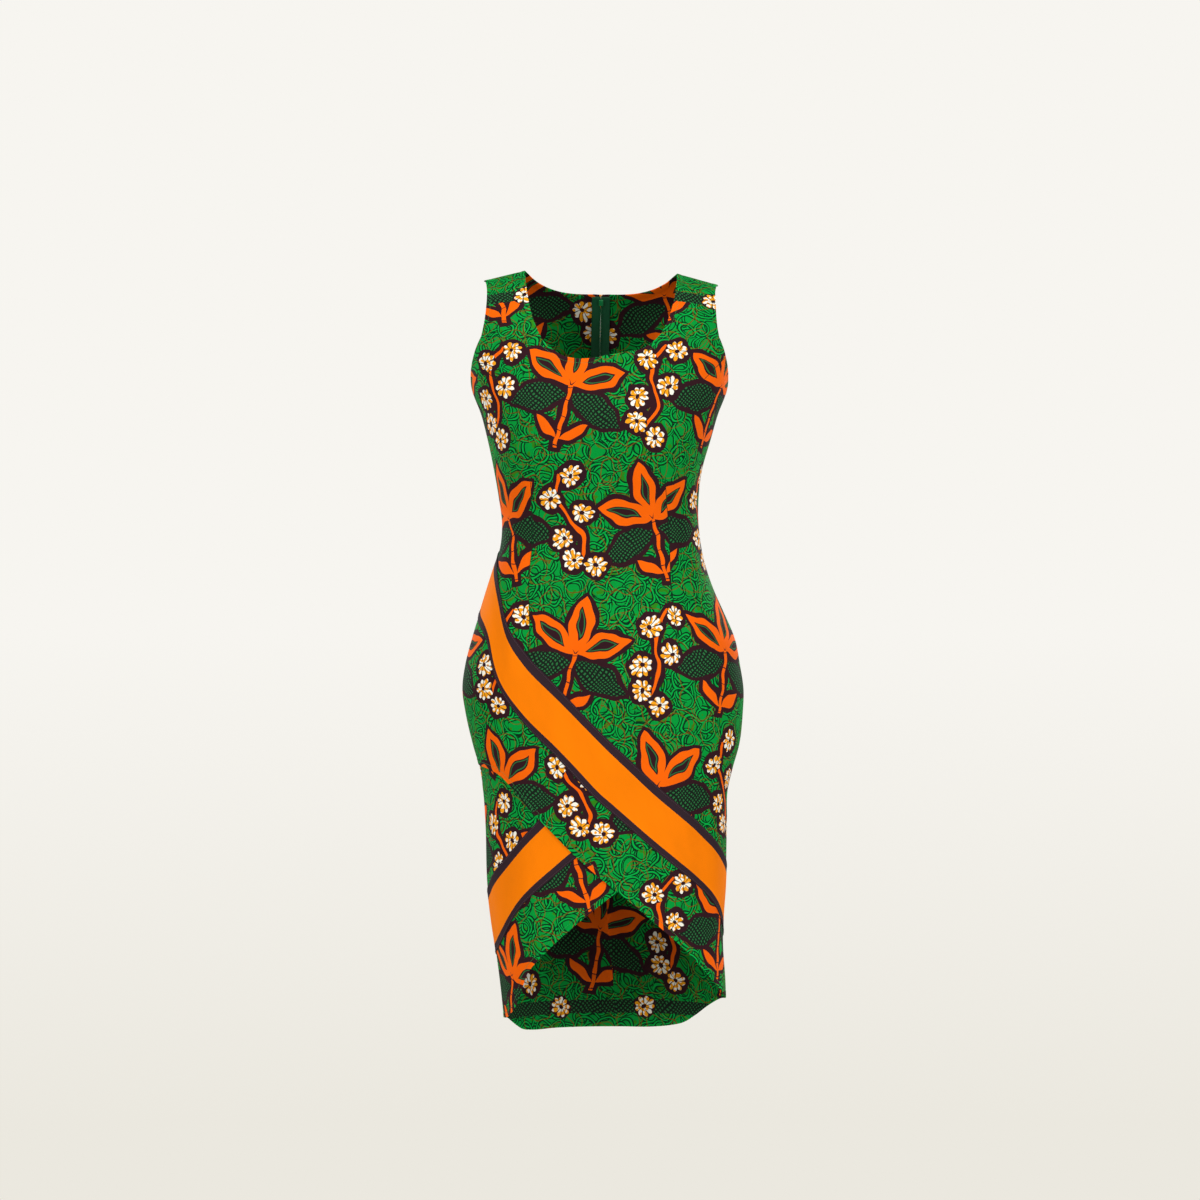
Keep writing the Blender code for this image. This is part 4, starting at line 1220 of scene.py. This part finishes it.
# The slider and its pull, with the soft edges that a casting has.
FLAT_ANGLE, SHARP_ANGLE = math.radians(1), math.radians(35)
for name, moves_with, eased_by in (("zip_slider", "dress", 0.3), ("zip_pull", "pull", 0.15)):
    shape = bmesh.new()
    shape.from_mesh(bpy.data.objects[name].data)
    bmesh.ops.remove_doubles(shape, verts=shape.verts, dist=0.001 * MM)
    bmesh.ops.dissolve_limit(shape, angle_limit=FLAT_ANGLE, verts=shape.verts, edges=shape.edges)
    sharp = [edge for edge in shape.edges if edge.is_manifold and edge.calc_face_angle() > SHARP_ANGLE]
    bmesh.ops.bevel(
        shape, geom=sharp, offset=eased_by * MM, segments=3, profile=0.5, affect="EDGES", clamp_overlap=True
    )
    for face in shape.faces:
        face.smooth = False
    cast_mesh = bpy.data.meshes.new(f"{name}_cast")
    shape.to_mesh(cast_mesh)
    shape.free()
    cast_mesh.materials.clear()
    cast_mesh.materials.append(enamel)
    cast = placed(f"{name}_cast", cast_mesh)
    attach(cast, moves_with)
    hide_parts(name)


# THE STUDIO. A pale surround and floor under soft lamps, and the camera straight before the dress.
# A pixel's size at the dress's middle, in a frame of 1200 pixels each way, sets the lens.
CAMERA_FAR, CAMERA_LEVEL, CAMERA_PIXEL, HALF_FRAME, FRAME_ASIDE = 4.3, -0.416, 1.3 * MM, 600, -3
camera = placed("camera", bpy.data.cameras.new("camera"))
camera.location = (FRAME_ASIDE * CAMERA_PIXEL, -CAMERA_FAR, CAMERA_LEVEL)
camera.rotation_euler = (math.pi / 2, 0, 0)
camera.data.angle = 2 * math.atan(HALF_FRAME * CAMERA_PIXEL / CAMERA_FAR)
bpy.context.scene.camera = camera

world = bpy.data.worlds.new("studio")
bpy.context.scene.world = world
world.use_nodes = True
OFF_WHITE = linear("#F7F5F0")
backdrop = world.node_tree.nodes["Background"].inputs
backdrop["Color"].default_value, backdrop["Strength"].default_value = OFF_WHITE, 0.5
bpy.context.scene.view_settings.view_transform = "Standard"

# The surround: a wide dome of even off-white, a little deeper low down, which lights nothing.
DOME_ROUND, DOME_LOW, DOME_LEVEL = 14.0, -3.2, -0.6
dome_mesh = bpy.data.meshes.new("pale_surround")
shape = bmesh.new()
bmesh.ops.create_uvsphere(shape, u_segments=48, v_segments=24, radius=DOME_ROUND)
shape.to_mesh(dome_mesh)
shape.free()
dome = placed("pale_surround", dome_mesh)
dome.visible_diffuse = dome.visible_glossy = dome.visible_transmission = dome.visible_shadow = False
glow, node, _ = new_finish("pale_glow")
glow.node_tree.nodes.remove(glow.node_tree.nodes["Principled BSDF"])
height = node("SeparateXYZ", node("NewGeometry")).node.outputs["Z"]
level = node("MapRange", height, DOME_LOW, DOME_LEVEL, 0.0, 1.0)
tone = node("Mix", level, linear("#EBE8DF"), OFF_WHITE, data_type="RGBA")
feed(glow.node_tree.nodes["Material Output"].inputs["Surface"], node("Emission", tone, 1.0))
dome_mesh.materials.append(glow)

# The floor: a round of matt paper that fades into the surround at its edge.
FLOOR_LOW, FLOOR_ROUND, FLOOR_FADES, FLOOR_SIDES = -1.45, 0.95, 0.2, 96
floor_mesh = bpy.data.meshes.new("pale_floor")
angles = np.arange(FLOOR_SIDES) * math.tau / FLOOR_SIDES
floor_rim = [(FLOOR_ROUND * math.cos(angle), FLOOR_ROUND * math.sin(angle), FLOOR_LOW) for angle in angles]
floor_mesh.from_pydata(floor_rim, [], [range(FLOOR_SIDES)])
floor = placed("pale_floor", floor_mesh)
paper, node, shade = new_finish("matt_paper")
from_middle = node("VectorMath.LENGTH", node("VectorMath.MULTIPLY", node("NewGeometry"), (1.0, 1.0, 0.0)))
solid = node("MapRange", from_middle, FLOOR_FADES, FLOOR_ROUND, 1.0, 0.0, interpolation_type="SMOOTHSTEP")
shade(Base_Color=linear("#F3F1EA"), Roughness=0.95, Specular_IOR_Level=0.1, Alpha=solid)
floor_mesh.materials.append(paper)

# The lamps: each one's place, its size and its power.
DRESS_MIDDLE = Vector((0, 0, -0.45))
for name, place, size, power in (
    ("softbox_left", (-2.5, -3.1, 0.6), 1.6, 62),
    ("softbox_right", (2.7, -2.9, 0.1), 1.6, 61),
    ("softbox_top", (0.0, -1.0, 2.6), 2.0, 24),
    ("softbox_back_left", (-2.8, 2.9, 0.6), 1.6, 40),
    ("softbox_back_right", (2.4, 3.2, 0.9), 1.6, 56),
):
    lamp = placed(name, bpy.data.lights.new(name, "AREA"))
    lamp.data.size = size
    lamp.data.energy = power
    lamp.location = place
    lamp.rotation_euler = (DRESS_MIDDLE - Vector(place)).to_track_quat("-Z", "Y").to_euler()
    lamp.visible_camera = False
